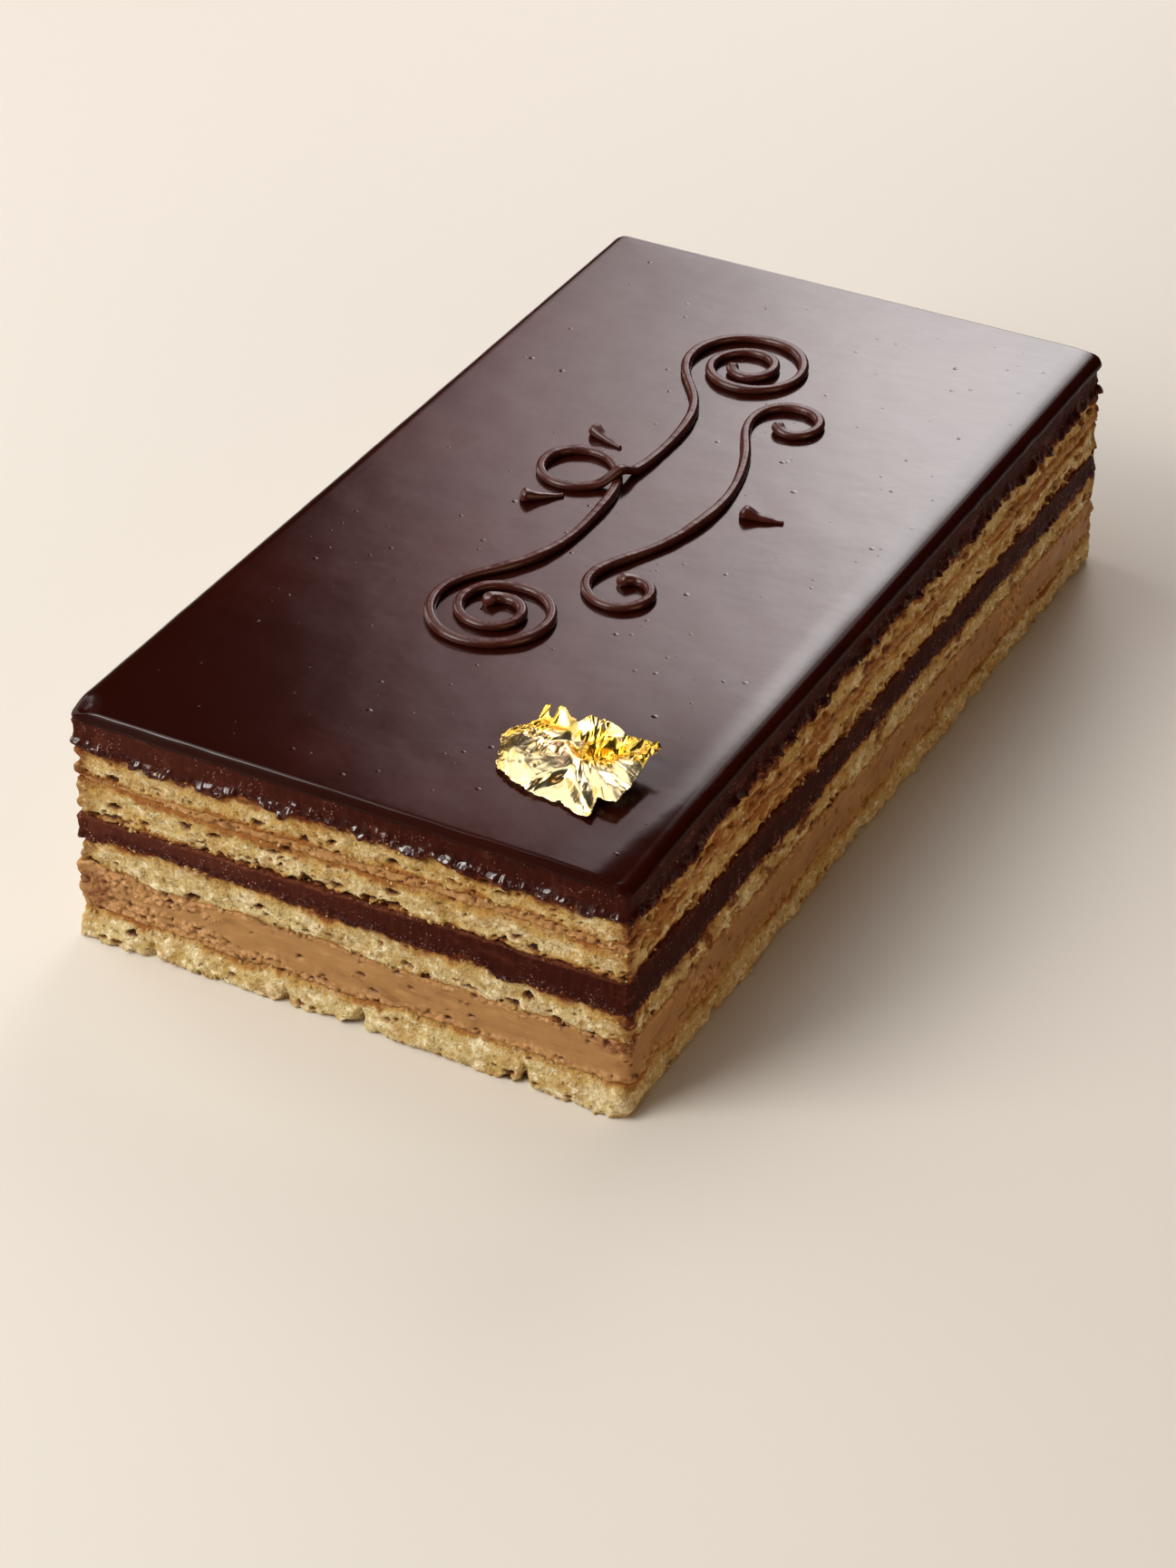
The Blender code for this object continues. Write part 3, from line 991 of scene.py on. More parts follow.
    def lay_out(self, columns: Array, turned: int) -> list[Array]:
        """Lay the side out in stacked strips, and the two caps in a strip of their own.

        Args:
            columns: The skin's points.
            turned: How many rows are turned in at each end.

        Returns:
            The corners' places in the bake layout, a block for each block of faces.
        """
        count, rows = columns.shape[:2]
        margin, turn_share = 0.003, 0.07
        strip = (1 - self.cap_share) / self.strips
        edge = np.linspace(0, turn_share, turned + 1)[:turned]
        middle = np.linspace(turn_share, 1 - turn_share, rows - 2 * turned)
        heights = np.concatenate([edge, middle, 1 - edge[::-1]])
        owner, left, right = in_strips(count, self.strips)
        u = beside(left, right, right, left)[:, None, :] * (1 - 2 * margin) + margin
        v = beside(heights[:-1], heights[:-1], heights[1:], heights[1:])[None]
        v = owner[:, None, None] * strip + margin + v * (strip - 2 * margin)
        side = beside(u, v).reshape(-1, 2)
        return [side, *(self.lay_out_cap(columns[:, row, :2], row) for row in (0, -1))]

    def lay_out_cap(self, ring: Array, row: int) -> Array:
        """Lay one cap out flat in its half of the last strip.

        Args:
            ring: The points round it.
            row: Their row: 0 for the underside, -1 for the top.

        Returns:
            The triangles' corners in the bake layout.
        """
        low, high = ring.min(axis=0), ring.max(axis=0)
        share = (ring - low) / (high - low)
        middle = (ring.mean(axis=0) - low) / (high - low)
        following = np.roll(share, -1, axis=0)
        first, second = (following, share) if row == 0 else (share, following)
        corners = np.stack([first, second, np.broadcast_to(middle, share.shape)], axis=1)
        left = 0.01 if row == 0 else 0.51
        return np.array([left, 1.01 - self.cap_share]) + corners[..., ::-1] * (0.48, self.cap_share - 0.02)


@dataclass
class Sponge(Layer):
    """A sheet of almond sponge: swollen crumb, grains, holes along its underside and a baked skin."""

    toast_top: float = 0.0
    toast_foot: float = 0.0
    soak_top: float = 0.0
    soak_foot: float = 0.0
    holes_at_foot: float = 0.35
    roll_top: float = 0.3
    roll_foot: float = 0.25
    soaked: float = 0.0  # all over
    open_crumb: float = 0.05  # the share of holes away from the foot
    stain_and_side_shade: float = 0.3  # stains and painted shade, most of all on the right side
    notches: Pairs = ()

    slot: ClassVar[str] = "sponge"

    def relief(self) -> tuple[Array, dict[str, Array]]:
        """Work out the crumb's relief and where it is holed, toasted and soaked."""
        points, seed = self.points, self.seed
        loose = stirred(points, 2, 0.5, seed + 20)
        crumb, grain = domes(loose, (1.3, 1.3, 1.05), seed + 2), domes(loose, 0.72, seed + 3)
        rough = rise(swells(points, 4, seed + 13), -0.5, 0.5)  # elsewhere the knife left it smooth
        out = waves(points, seed, (0.26, 8, 0), (0.45, (3, 3, 2.4), 1), (0.18, 1.4, 12))
        out += (0.35 + 0.65 * rough) * (0.32 * (crumb - 0.6) + 0.2 * (grain - 0.6))
        out += 0.5 * self.near_corner() * swells(points, 2, seed + 11) + self.jut()
        holes = self.holes(stirred(points, 1.3, 0.35, seed + 30))
        out -= 0.9 * holes
        out -= shoulder(self.below, self.roll_top) + shoulder(self.above, self.roll_foot)
        out += 0.3 * swells(points, 1.5, seed + 7) * rise(self.above, 1.2, 0)
        for where, depth in self.notches:
            gap = np.exp(-(((self.outline.along - where) / 0.9) ** 2))[:, None]
            out -= depth * gap * rise(self.above, 2.2, 0.2)
        wander = waves(points, seed, (0.5, (3.4, 3.4, 50), 8), (0.35, 1.1, 9))
        patchy = rise(swells(points, (11, 11, 50), seed + 10), -0.5, 0.6)
        toast, soak = (
            self.fringe(self.below, at_top, wander) + self.fringe(self.above, at_foot, wander)
            for at_top, at_foot in ((self.toast_top, self.toast_foot), (self.soak_top, self.soak_foot))
        )
        # Stains in drips, laid on most heavily on the right side as painted shade; they toast and soak the
        # crumb, and near the upright corners too.
        drips = rise(swells(loose, (3.6, 3.6, 1.7), seed + 15), 0.1, 0.5)
        stain_and_side_shade_mask = drips * (0.2 + 0.8 * self.outline.right) * self.stain_and_side_shade
        toast += 0.8 * stain_and_side_shade_mask * rise(swells(points, (14, 14, 50), seed + 16), -0.3, 0.2)
        soak += stain_and_side_shade_mask
        corner = self.stain_and_side_shade * self.near_corner()
        marks = {
            # hole: where the finish paints shade into the holes.
            "hole": np.clip(holes * 1.1, 0, 1),
            "toast": np.clip(toast + 0.5 * corner, 0, 1),
            "soak": np.clip(soak * (0.35 + 0.65 * patchy) + 0.4 * corner + self.soaked, 0, 1),
            # crest: the crumb's height, which the finish paints as highlight on top and shade below.
            "crest": np.clip(0.5 + rough * (0.6 * crumb + 0.4 * grain - 0.5), 0, 1),
        }
        return out, marks

    def darker_side(self) -> Array:
        """Return 1 on the near part of the right side, where the stains reach further as painted shade, and 0
        on the other sides.
        """
        return self.outline.right * rise(self.outline.place[:, 1:], 60, -50)

    def fringe(self, distance: Array, depth: float, wander: Array) -> Array:
        """Draw a stain that is full at a boundary and wanders out.

        Args:
            distance: How far each point is from the boundary.
            depth: About how far the stain reaches.
            wander: How much more or less it reaches at each point.

        Returns:
            The stain, from 0 to 1.
        """
        if depth <= 0:
            return np.zeros_like(distance)
        # Stains reach further on the near part of the right side, as painted shade.
        reach = depth * (1 + wander) * (1 + 0.6 * self.darker_side())
        return rise(distance, np.maximum(reach, 0.05), 0)

    def holes(self, loose: Array) -> Array:
        """Tear holes in the crumb, most of them along its foot.

        Args:
            loose: The side's points, stirred.

        Returns:
            How open the crumb is at each point, from 0 to 1.
        """
        total = np.zeros(self.z.shape)
        stretch = rise(swells(self.points, (7, 7, 50), self.seed + 6), -0.5, 0.1)
        near_foot = rise(self.above, 2.4, 0.8) * stretch
        for size, least, step in (((2.5, 2.5, 1.2), 0.16, 4), ((1.4, 1.4, 0.75), 0.12, 5)):
            nearest, owner = clumps(loose, size, self.seed + step)
            opened = owner[..., 0] < self.open_crumb * 5 * least + self.holes_at_foot * near_foot
            radius = least + 0.3 * owner[..., 1]
            total = np.maximum(total, opened * rise(nearest, radius + 0.16, radius - 0.08))
        return total


@dataclass
class FootSponge(Sponge):
    """The sheet that the cake stands on, whose torn lower edge is lifted here and there."""

    spills: float = 0.0  # how far its foot spreads out of the front

    rests: ClassVar[bool] = True

    def relief(self) -> tuple[Array, dict[str, Array]]:
        """Work out the relief, with the foot spread out."""
        out, marks = super().relief()
        front = rise(-self.outline.facing[:, 1:], 0.3, 0.9)
        return out + self.spills * front * rise(self.z, 6, 0), marks


@dataclass
class Cream(Layer):
    """Coffee cream: dragged smooth by the knife in the middle, full of crumb at its edges."""

    grainy_foot: float = 2.0
    grainy_top: float = 1.5
    grainy_all: float = 0.0
    stain_top: float = 0.05
    patches: Blots = ()  # along, above, half length, half height
    burnt: Blots = ()

    slot: ClassVar[str] = "coffee_cream"

    def relief(self) -> tuple[Array, dict[str, Array]]:
        """Work out the cream's relief and where it is granular or pitted."""
        points, seed = self.points, self.seed
        wander = waves(points, seed, (1, (4.5, 4.5, 3), 1), (0.4, 1.4, 8))
        loose = rise(swells(points, (15, 15, 5), seed + 2), 0.25, 0.6) * self.away_from_front()
        grainy = rise(self.above, self.grainy_foot * (1.2 + wander), 0.1)
        grainy = np.maximum(grainy, rise(self.below, self.grainy_top * (0.9 + wander), 0.1))
        grainy = np.maximum(grainy, loose * 0.9) + self.grainy_all + self.blots(self.patches, wander)
        burnt = np.clip(self.blots(self.burnt, wander), 0, 1)
        grainy = np.clip(grainy + burnt, 0, 1)
        loose = stirred(points, 1.6, 0.4, seed + 20)
        lumps, fine = domes(loose, (1.05, 1.05, 0.8), seed + 3), domes(loose, 0.5, seed + 9)
        drag = waves(points, seed, (0.09, (9, 9, 0.9), 4), (0.12, (4, 4, 2), 10))
        out = 0.14 * swells(points, (16, 16, 5), seed + 5) + drag
        out += grainy * (0.8 * (lumps - 0.6) + 0.3 * (fine - 0.6))
        out += 0.5 * self.near_corner() * swells(points, 2.2, seed + 6) + self.jut()
        holes = self.holes(grainy)
        out -= 0.7 * holes + shoulder(self.below, 0.08) + shoulder(self.above, 0.08)
        # crest: the lumps' height, which the finish paints as highlight on top and shade between.
        crest = np.clip(0.65 * lumps + 0.35 * fine, 0, 1)
        stain = rise(self.above, 1.1 * (1 + wander), 0) * (0.4 + 0.6 * rise(wander, -0.4, 0.4))
        stain = np.maximum(stain, rise(self.below, self.stain_top * (1 + wander), 0))
        return out, {"hole": holes, "grainy": grainy, "burnt": burnt, "crest": crest, "stain": stain}

    def away_from_front(self) -> Array:
        """Return 0 on the front, whose patches are listed, and 1 on the other sides."""
        return (self.outline.facing[:, 1] > -0.9)[:, None].astype(float)

    def blots(self, places: Blots, wander: Array) -> Array:
        """Draw soft-edged blots.

        Args:
            places: Each blot's place along and above the foot, and half its length and height.
            wander: How uneven their edges are.

        Returns:
            The blots, added up.
        """
        total = np.zeros_like(self.z)
        for along, above, length, height in places:
            offset = (self.outline.along[:, None] - along + self.outline.girth / 2) % self.outline.girth
            offset = (offset - self.outline.girth / 2) / length
            reach = np.hypot(offset, (self.above - above) / height)
            total += rise(reach - 0.4 * wander, 1.15, 0.7)
        return total

    def holes(self, grainy: Array) -> Array:
        """Return how open the cream is at each point, from 0 to 1."""
        loose = stirred(self.points, 1.3, 0.3, self.seed + 30)
        nearest, owner = clumps(loose, (2.1, 2.1, 1), self.seed + 7)
        opened = owner[..., 0] < 0.12 + 0.4 * grainy
        radius = 0.12 + 0.2 * owner[..., 1]
        return opened * rise(nearest, radius + 0.12, radius - 0.04)


@dataclass
class Ganache(Layer):
    """Ganache: a smooth cut face that ends below in wet beads pressed into the crumb."""

    beads: float = 0.5  # how far the beads stand out
    wet_height: float = 1.5
    dusty: float = 0.0  # how far down crumb clings under its top
    gloss: float = 1.0  # of the beads
    # crusty roughens the wet crust and scatters the pale specks on it, which are part crust and part painted
    # glints.
    crusty: float = 0.0
    hazy: float = 0.25  # of the painted sheen, where the light grazes it

    slot: ClassVar[str] = "ganache"

    def relief(self) -> tuple[Array, dict[str, Array]]:
        """Work out the ganache's relief and where it is wet."""
        points, seed = self.points, self.seed
        out = waves(points, seed, (0.1, 11, 0), (0.03, (1.1, 1.1, 9), 1))
        wander = waves(points, seed, (1, (5, 5, 50), 2), (0.5, 1.7, 3))
        wet = rise(self.above, self.wet_height * np.maximum(0.4, 1 + 0.6 * wander), 0.2)
        nearest, owner = clumps(stirred(points, 1.5, 0.7, seed + 20), (2.4, 2.4, 1.2), seed + 4)
        bead = np.sqrt(np.clip(1 - (nearest / 0.8) ** 2, 0, 1))
        out += wet * self.beads * (bead * (0.5 + 1.2 * owner[..., 1]) - 0.1)
        out += wet * 0.22 * (domes(points, 0.8, seed + 5) - 0.5)
        out += wet * (0.16 + 0.06 * self.crusty) * swells(points, 0.6, seed + 8)
        out += 0.35 * self.near_corner() * swells(points, 2.4, seed + 6) + self.jut()
        dust = np.zeros_like(self.z)
        if self.dusty > 0:
            dust = rise(self.below, self.dusty * (1 + 0.6 * wander), 0.05)
            out += dust * 0.3 * (domes(points, 0.8, seed + 7) - 0.5)
        out -= shoulder(self.above, 0.35) + shoulder(self.below, 0.35)
        shine = wet * rise(-np.gradient(out, axis=1) / self.row, 0.25, 0.6) * self.gloss
        shine *= 1 - 0.8 * self.outline.right
        shine *= 0.2 + 0.8 * rise(swells(points, (4, 4, 2), seed + 9), -0.3, 0.15)
        # Painted sheen: paler towards the left end, where the light grazes the cut.
        pale_tone_and_sheen = np.broadcast_to(rise(points[..., 0], 25, -46), out.shape) * self.hazy
        seep = rise(self.above, 0.7 * (1.2 + wander), 0)
        marks = {"wet": wet, "dust": dust, "crust": wet * self.crusty, "pale_tone_and_sheen": pale_tone_and_sheen}
        return out, marks | {"seep": seep, "shine": shine * (1 - seep)}


# The glaze and what lies on it.


@dataclass
class Glaze:
    """The poured glaze: a gridded top that sinks towards its rim, a round lip and a thin side."""

    half_x: float
    half_y: float
    top: float
    bottom: float
    seed: int = 900
    cell: float = 0.5
    fine_cell: float = 0.28
    fine_lines: int = 7
    lips: Pair = (2.2, 0.45)  # how wide the lip is on the long sides, and on the ends
    lip_heights: Pair = (1.4, 0.4)
    corner: float = 0.6  # the radius of the flat top's corners
    round_corner: float = 1.7  # that of its near left corner
    stretch: float = 1.6  # how far it runs out to the left
    fall: float = 3.0  # of its near left corner
    fall_width: float = 6.0
    sink: float = 0.05  # of the whole rim
    sink_width: float = 6.0
    roll: float = 0.35  # of the rim on the right side
    roll_width: float = 4.5
    droop: float = 0.9  # of the near right corner
    droop_width: float = 14.0
    waviness: float = 0.05
    wrinkle: float = 0.009  # of the skin that sets on it

    @property
    def inner(self) -> Pair:
        """Return half the flat top's sizes."""
        return self.half_x - self.lips[0], self.half_y - self.lips[1]

    def lines(self, half: float) -> Array:
        """Return grid lines from -half to half, closer together near both ends."""
        fine = self.fine_cell * np.arange(self.fine_lines)
        reach = half - fine[-1] - self.fine_cell
        middle = np.linspace(-reach, reach, round(2 * reach / self.cell) + 1)
        return np.concatenate([fine - half, middle, (half - fine)[::-1]])

    def rounded(self, x: Array, y: Array, half: Pair, radius: Array) -> tuple[Array, Array]:
        """Press a rectangular grid's corners onto arcs.

        Args:
            x: The points' places along X.
            y: The points' places along Y.
            half: Half the rectangle's sizes.
            radius: The arcs' radius, for each point.

        Returns:
            The places along X and Y after that.
        """
        beyond_x = np.maximum(np.abs(x) - (half[0] - radius), 0)
        beyond_y = np.maximum(np.abs(y) - (half[1] - radius), 0)
        length = np.hypot(beyond_x, beyond_y)
        both = (beyond_x > 0) & (beyond_y > 0)
        shrink = np.where(both, np.maximum(beyond_x, beyond_y) / np.maximum(length, 1e-9), 1)
        return (
            np.sign(x) * (np.abs(x) - beyond_x + beyond_x * shrink),
            np.sign(y) * (np.abs(y) - beyond_y + beyond_y * shrink),
        )

    def radius(self, x: Array, y: Array) -> Array:
        """Return the flat top's corner radius on each point's side of the cake."""
        return np.where((x < 0) & (y < 0), self.round_corner, self.corner)

    def drop(self, x: Array, y: Array) -> Array:
        """Return how far the poured top has sunk at places on it, which it does towards its rim."""
        distance = np.minimum(self.inner[0] - np.abs(x), self.inner[1] - np.abs(y))
        share = np.clip(1 - distance / self.sink_width, 0, 1)
        roll = np.clip(1 - (self.inner[0] - x) / self.roll_width, 0, 1)
        near = np.clip(1 - np.hypot(self.half_x - x, (self.half_y + y) / 2) / self.droop_width, 0, 1)
        left = np.clip(1 - np.hypot(self.half_x + x, self.half_y + y) / self.fall_width, 0, 1)
        return self.sink * share**2 + self.roll * roll**2 + self.droop * near**2 + self.fall * left**2

    def draft(self) -> Draft:
        """Build the glaze's closed skin.

        Returns:
            The draft.
        """
        inner = self.inner
        lines_x, lines_y = self.lines(inner[0]), self.lines(inner[1])
        grid_x, grid_y = np.meshgrid(lines_x, lines_y, indexing="ij")
        x, y = self.rounded(grid_x, grid_y, inner, self.radius(grid_x, grid_y))
        sheet = beside(x, y, self.surface_height(x, y))
        across, up = x.shape
        border = self.border(across, up)
        ring = sheet.reshape(-1, 3)[border]
        corner = self.radius(ring[:, 0], ring[:, 1])[:, None]
        beyond = np.maximum(np.abs(ring[:, :2]) - (np.array(inner) - corner), 0)
        facing = np.sign(ring[:, :2]) * beyond
        facing /= np.linalg.norm(facing, axis=1, keepdims=True)
        skirt = self.skirt(ring, facing)
        points = np.concatenate([sheet.reshape(-1, 3), skirt.reshape(-1, 3), skirt[:, -1].mean(axis=0)[None]])
        points[:, 0] -= self.stretch * rise(points[:, 0], 0.5 * self.half_x, -self.half_x) ** 2
        count, rows = skirt.shape[:2]
        first = across * up + np.arange(count) * rows
        following = np.roll(first, -1)
        joint = beside(border, first, following, np.roll(border, -1))
        walls = grid_faces(count, rows, closed=True)[:, ::-1] + across * up
        under = beside(following + rows - 1, first + rows - 1, len(points) - 1)
        faces = [grid_faces(across, up, closed=False), joint, walls, under]
        layout = self.lay_out(points, faces, lines_x, lines_y, count, rows)
        return Draft("glaze_coat", points, faces, layout, {"gloss": self.gloss(points, across * up)})

    def gloss(self, points: Array, on_top: int) -> Array:
        """Return how much each point shines: all of it on top, least on the side."""
        side = rise(self.top - points[:, 2], 0.22, 0.6)
        shine = (1 - 0.94 * side) * self.sheen(points[:, 0], points[:, 1])
        shine[on_top:] *= 0.08 + 0.8 * rise(points[on_top:, 0], 20, -self.half_x)
        return shine

    @staticmethod
    def sheen(x: Array, y: Array) -> Array:
        """Return how much the top shines at a place: least near its front right corner."""
        return 1 - 0.55 * rise(x, 4, 42) * rise(y, -30, -64)

    @staticmethod
    def border(across: int, up: int) -> Array:
        """List the grid's border points, counter-clockwise from the front left corner."""
        front = np.arange(across) * up
        right = (across - 1) * up + np.arange(1, up)
        back = (across - 2 - np.arange(across - 1)) * up + up - 1
        left = up - 2 - np.arange(up - 2)
        return np.concatenate([front, right, back, left])

    def skirt(self, ring: Array, facing: Array) -> Array:
        """Run the skin over the lip, down the side and in underneath.

        Args:
            ring: The flat top's border.
            facing: Which way each of its points faces.

        Returns:
            A column of points for each point of the border.
        """
        lip, lip_height = (facing**2 @ np.array(sizes) for sizes in (self.lips, self.lip_heights))
        rim = ring[:, 2]
        low, foot = rim - lip_height, self.bottom + 0.15
        ragged = waves(ring, self.seed, (1, 5, 4), (0.7, 1.8, 5))
        profile = [
            (lip * math.sin(turn), rim - lip_height * (1 - math.cos(turn)))
            for turn in np.radians(np.linspace(9, 90, 10))
        ]
        profile += [(lip, low + (foot + 0.22 * ragged - low) * share) for share in (0.25, 0.5, 0.75, 1)]
        profile += [(lip - inset, self.bottom + 0.22 * ragged) for inset in (0.15, 1.2, 3)]
        columns = []
        for outset, height in profile:
            place = ring[:, :2] + facing * outset[:, None]
            uneven = 0.1 * swells(np.column_stack([place, height]), (5, 5, 3), self.seed + 2)
            uneven *= rise(height, rim, low)
            columns.append(np.column_stack([place + facing * uneven[:, None], height]))
        return np.stack(columns, axis=1)

    def lay_out(
        self, points: Array, faces: list[Array], lines_x: Array, lines_y: Array, count: int, rows: int
    ) -> list[Array]:
        """Lay the top out in one part, the side in four strips and the underside in a corner.

        Args:
            points: The skin's points.
            faces: Its blocks of faces.
            lines_x: The top's grid lines along X.
            lines_y: Those along Y.
            count: How many columns the skirt has.
            rows: How many points each of them has.

        Returns:
            The corners' places in the bake layout, a block for each block of faces.
        """
        top_share, margin = 0.53, 0.002
        inner = np.array([lines_x[-1], lines_y[-1]])
        up = len(lines_y)
        index = faces[0]
        spot = beside(lines_y[index % up] / inner[1], lines_x[index // up] / inner[0])
        top = (spot / 2 + 0.5) * (1 - 2 * margin, top_share - 2 * margin) + margin
        strips, height = 4, 0.08
        owner, left, right = in_strips(count, strips)
        base = top_share + owner * height
        levels = np.linspace(0.08, 0.95, rows)
        joint_v = np.array([0, levels[0], levels[0], 0])
        joint = beside(beside(left, left, right, right), base[:, None] + margin + joint_v * height)
        wall_v = beside(levels[:-1], levels[:-1], levels[1:], levels[1:])[None]
        wall_u = beside(left, right, right, left)[:, None, :]
        walls = beside(wall_u, base[:, None, None] + margin + wall_v * height).reshape(-1, 4, 2)[:, ::-1]
        under = points[faces[3], 1::-1] / (self.half_y, self.half_x) / 2 + 0.5
        room = (0.98, 0.99 - top_share - strips * height)
        return [top, joint, walls, under * room + (0.01, top_share + strips * height + 0.005)]

    def surface_height(self, x: Array, y: Array) -> Array:
        """Return the height of the glaze's top at places on it."""
        flat = beside(x, y, 0)
        wave = waves(flat, self.seed, (1, 26, 0), (0.45, 7, 1))
        drawn = stirred(beside(0.6 * x + 0.8 * y, 0.6 * y - 0.8 * x, 0), 22, 3, self.seed + 6)
        skin = swells(drawn, (5, 1.6, 1), self.seed + 7) * (0.6 + 0.6 * swells(flat, 14, self.seed + 8))
        skin += 0.45 * swells(flat, 1.3, self.seed + 9)
        return self.top - self.drop(x, y) + self.waviness * (wave - 1) + self.wrinkle * skin


@dataclass
class Bubbles:
    """Small bubbles and specks under the glaze's skin: low domes that run out flat."""

    glaze: Glaze
    count: int = 220
    smallest: float = 0.12
    largest: float = 0.42
    margin: float = 4.0
    rings: int = 5
    spokes: int = 12
    seed: int = 31

    def draft(self) -> Draft:
        """Build all the domes as one mesh.

        Returns:
            The draft.
        """
        chance = np.random.default_rng(self.seed)
        x = chance.uniform(self.margin - self.glaze.half_x, self.glaze.half_x - self.margin, self.count)
        y = chance.uniform(self.margin - self.glaze.half_y, self.glaze.half_y - self.margin, self.count)
        size = self.smallest + (self.largest - self.smallest) * chance.random(self.count) ** 3
        height = size * chance.uniform(0.05, 0.22, self.count)
        turn, out = np.meshgrid(circle(self.spokes), np.linspace(0, 1, self.rings + 1)[1:], indexing="ij")
        turn, out = np.insert(turn, 0, 0), np.insert(out, 0, 0)
        profile = (1 - out**2) ** 2
        reach = size[:, None] * 1.6 * out
        spot_x = x[:, None] + reach * np.cos(turn)
        spot_y = y[:, None] + reach * np.sin(turn)
        level = self.glaze.surface_height(spot_x, spot_y) + height[:, None] * profile - 0.012 * (out > 0.99)
        points = beside(spot_x, spot_y, level + 0.004).reshape(-1, 3)
        spoke = np.arange(self.spokes) * self.rings
        tip = beside(0, 1 + spoke, 1 + np.roll(spoke, -1))
        skin = grid_faces(self.spokes, self.rings, closed=True)[:, ::-1] + 1
        base = np.arange(self.count)[:, None, None] * len(out)
        faces = [(tip + base).reshape(-1, 3), (skin + base).reshape(-1, 4)]
        spots = in_tiles(self.count, beside(out * np.cos(turn), out * np.sin(turn)) * 0.46 + 0.5)
        marks = {"gloss": self.glaze.sheen(points[:, 0], points[:, 1])}
        return Draft("glaze_bubbles", points, faces, [spots[block] for block in faces], marks)


class Stroke:
    """A line drawn by hand: a start, a heading and bends, as in the frame's own piping.

    Each bend is a length in millimetres and the line's curvature at its end, in degrees a millimetre.
    """

    STEP: ClassVar[float] = 0.25

    def __init__(self, start: Pair, heading: float, bends: Pairs) -> None:
        """Follow the bends from the start, one step after the other.

        Args:
            start: Where the line starts.
            heading: Which way it sets off, in degrees.
            bends: The bends.
        """
        lengths = np.array([length for length, _ in bends])
        total = float(lengths.sum())
        steps = round(total / self.STEP)
        stride = total / steps
        middles = (np.arange(steps) + 0.5) * stride
        curvature = np.interp(middles, np.cumsum(lengths), [curve for _, curve in bends])
        turns = np.radians(curvature) * stride
        angles = math.radians(heading) + np.cumsum(turns) - turns / 2
        moves = beside(np.cos(angles), np.sin(angles)) * stride
        self.points = np.concatenate([[start], np.array(start) + np.cumsum(moves, axis=0)])

    def mirrored(self) -> Array:
        """Join the stroke to its mirror image, which comes first."""
        image = self.points[::-1] * (-1, 1)
        return np.concatenate([image, self.points[1:]])


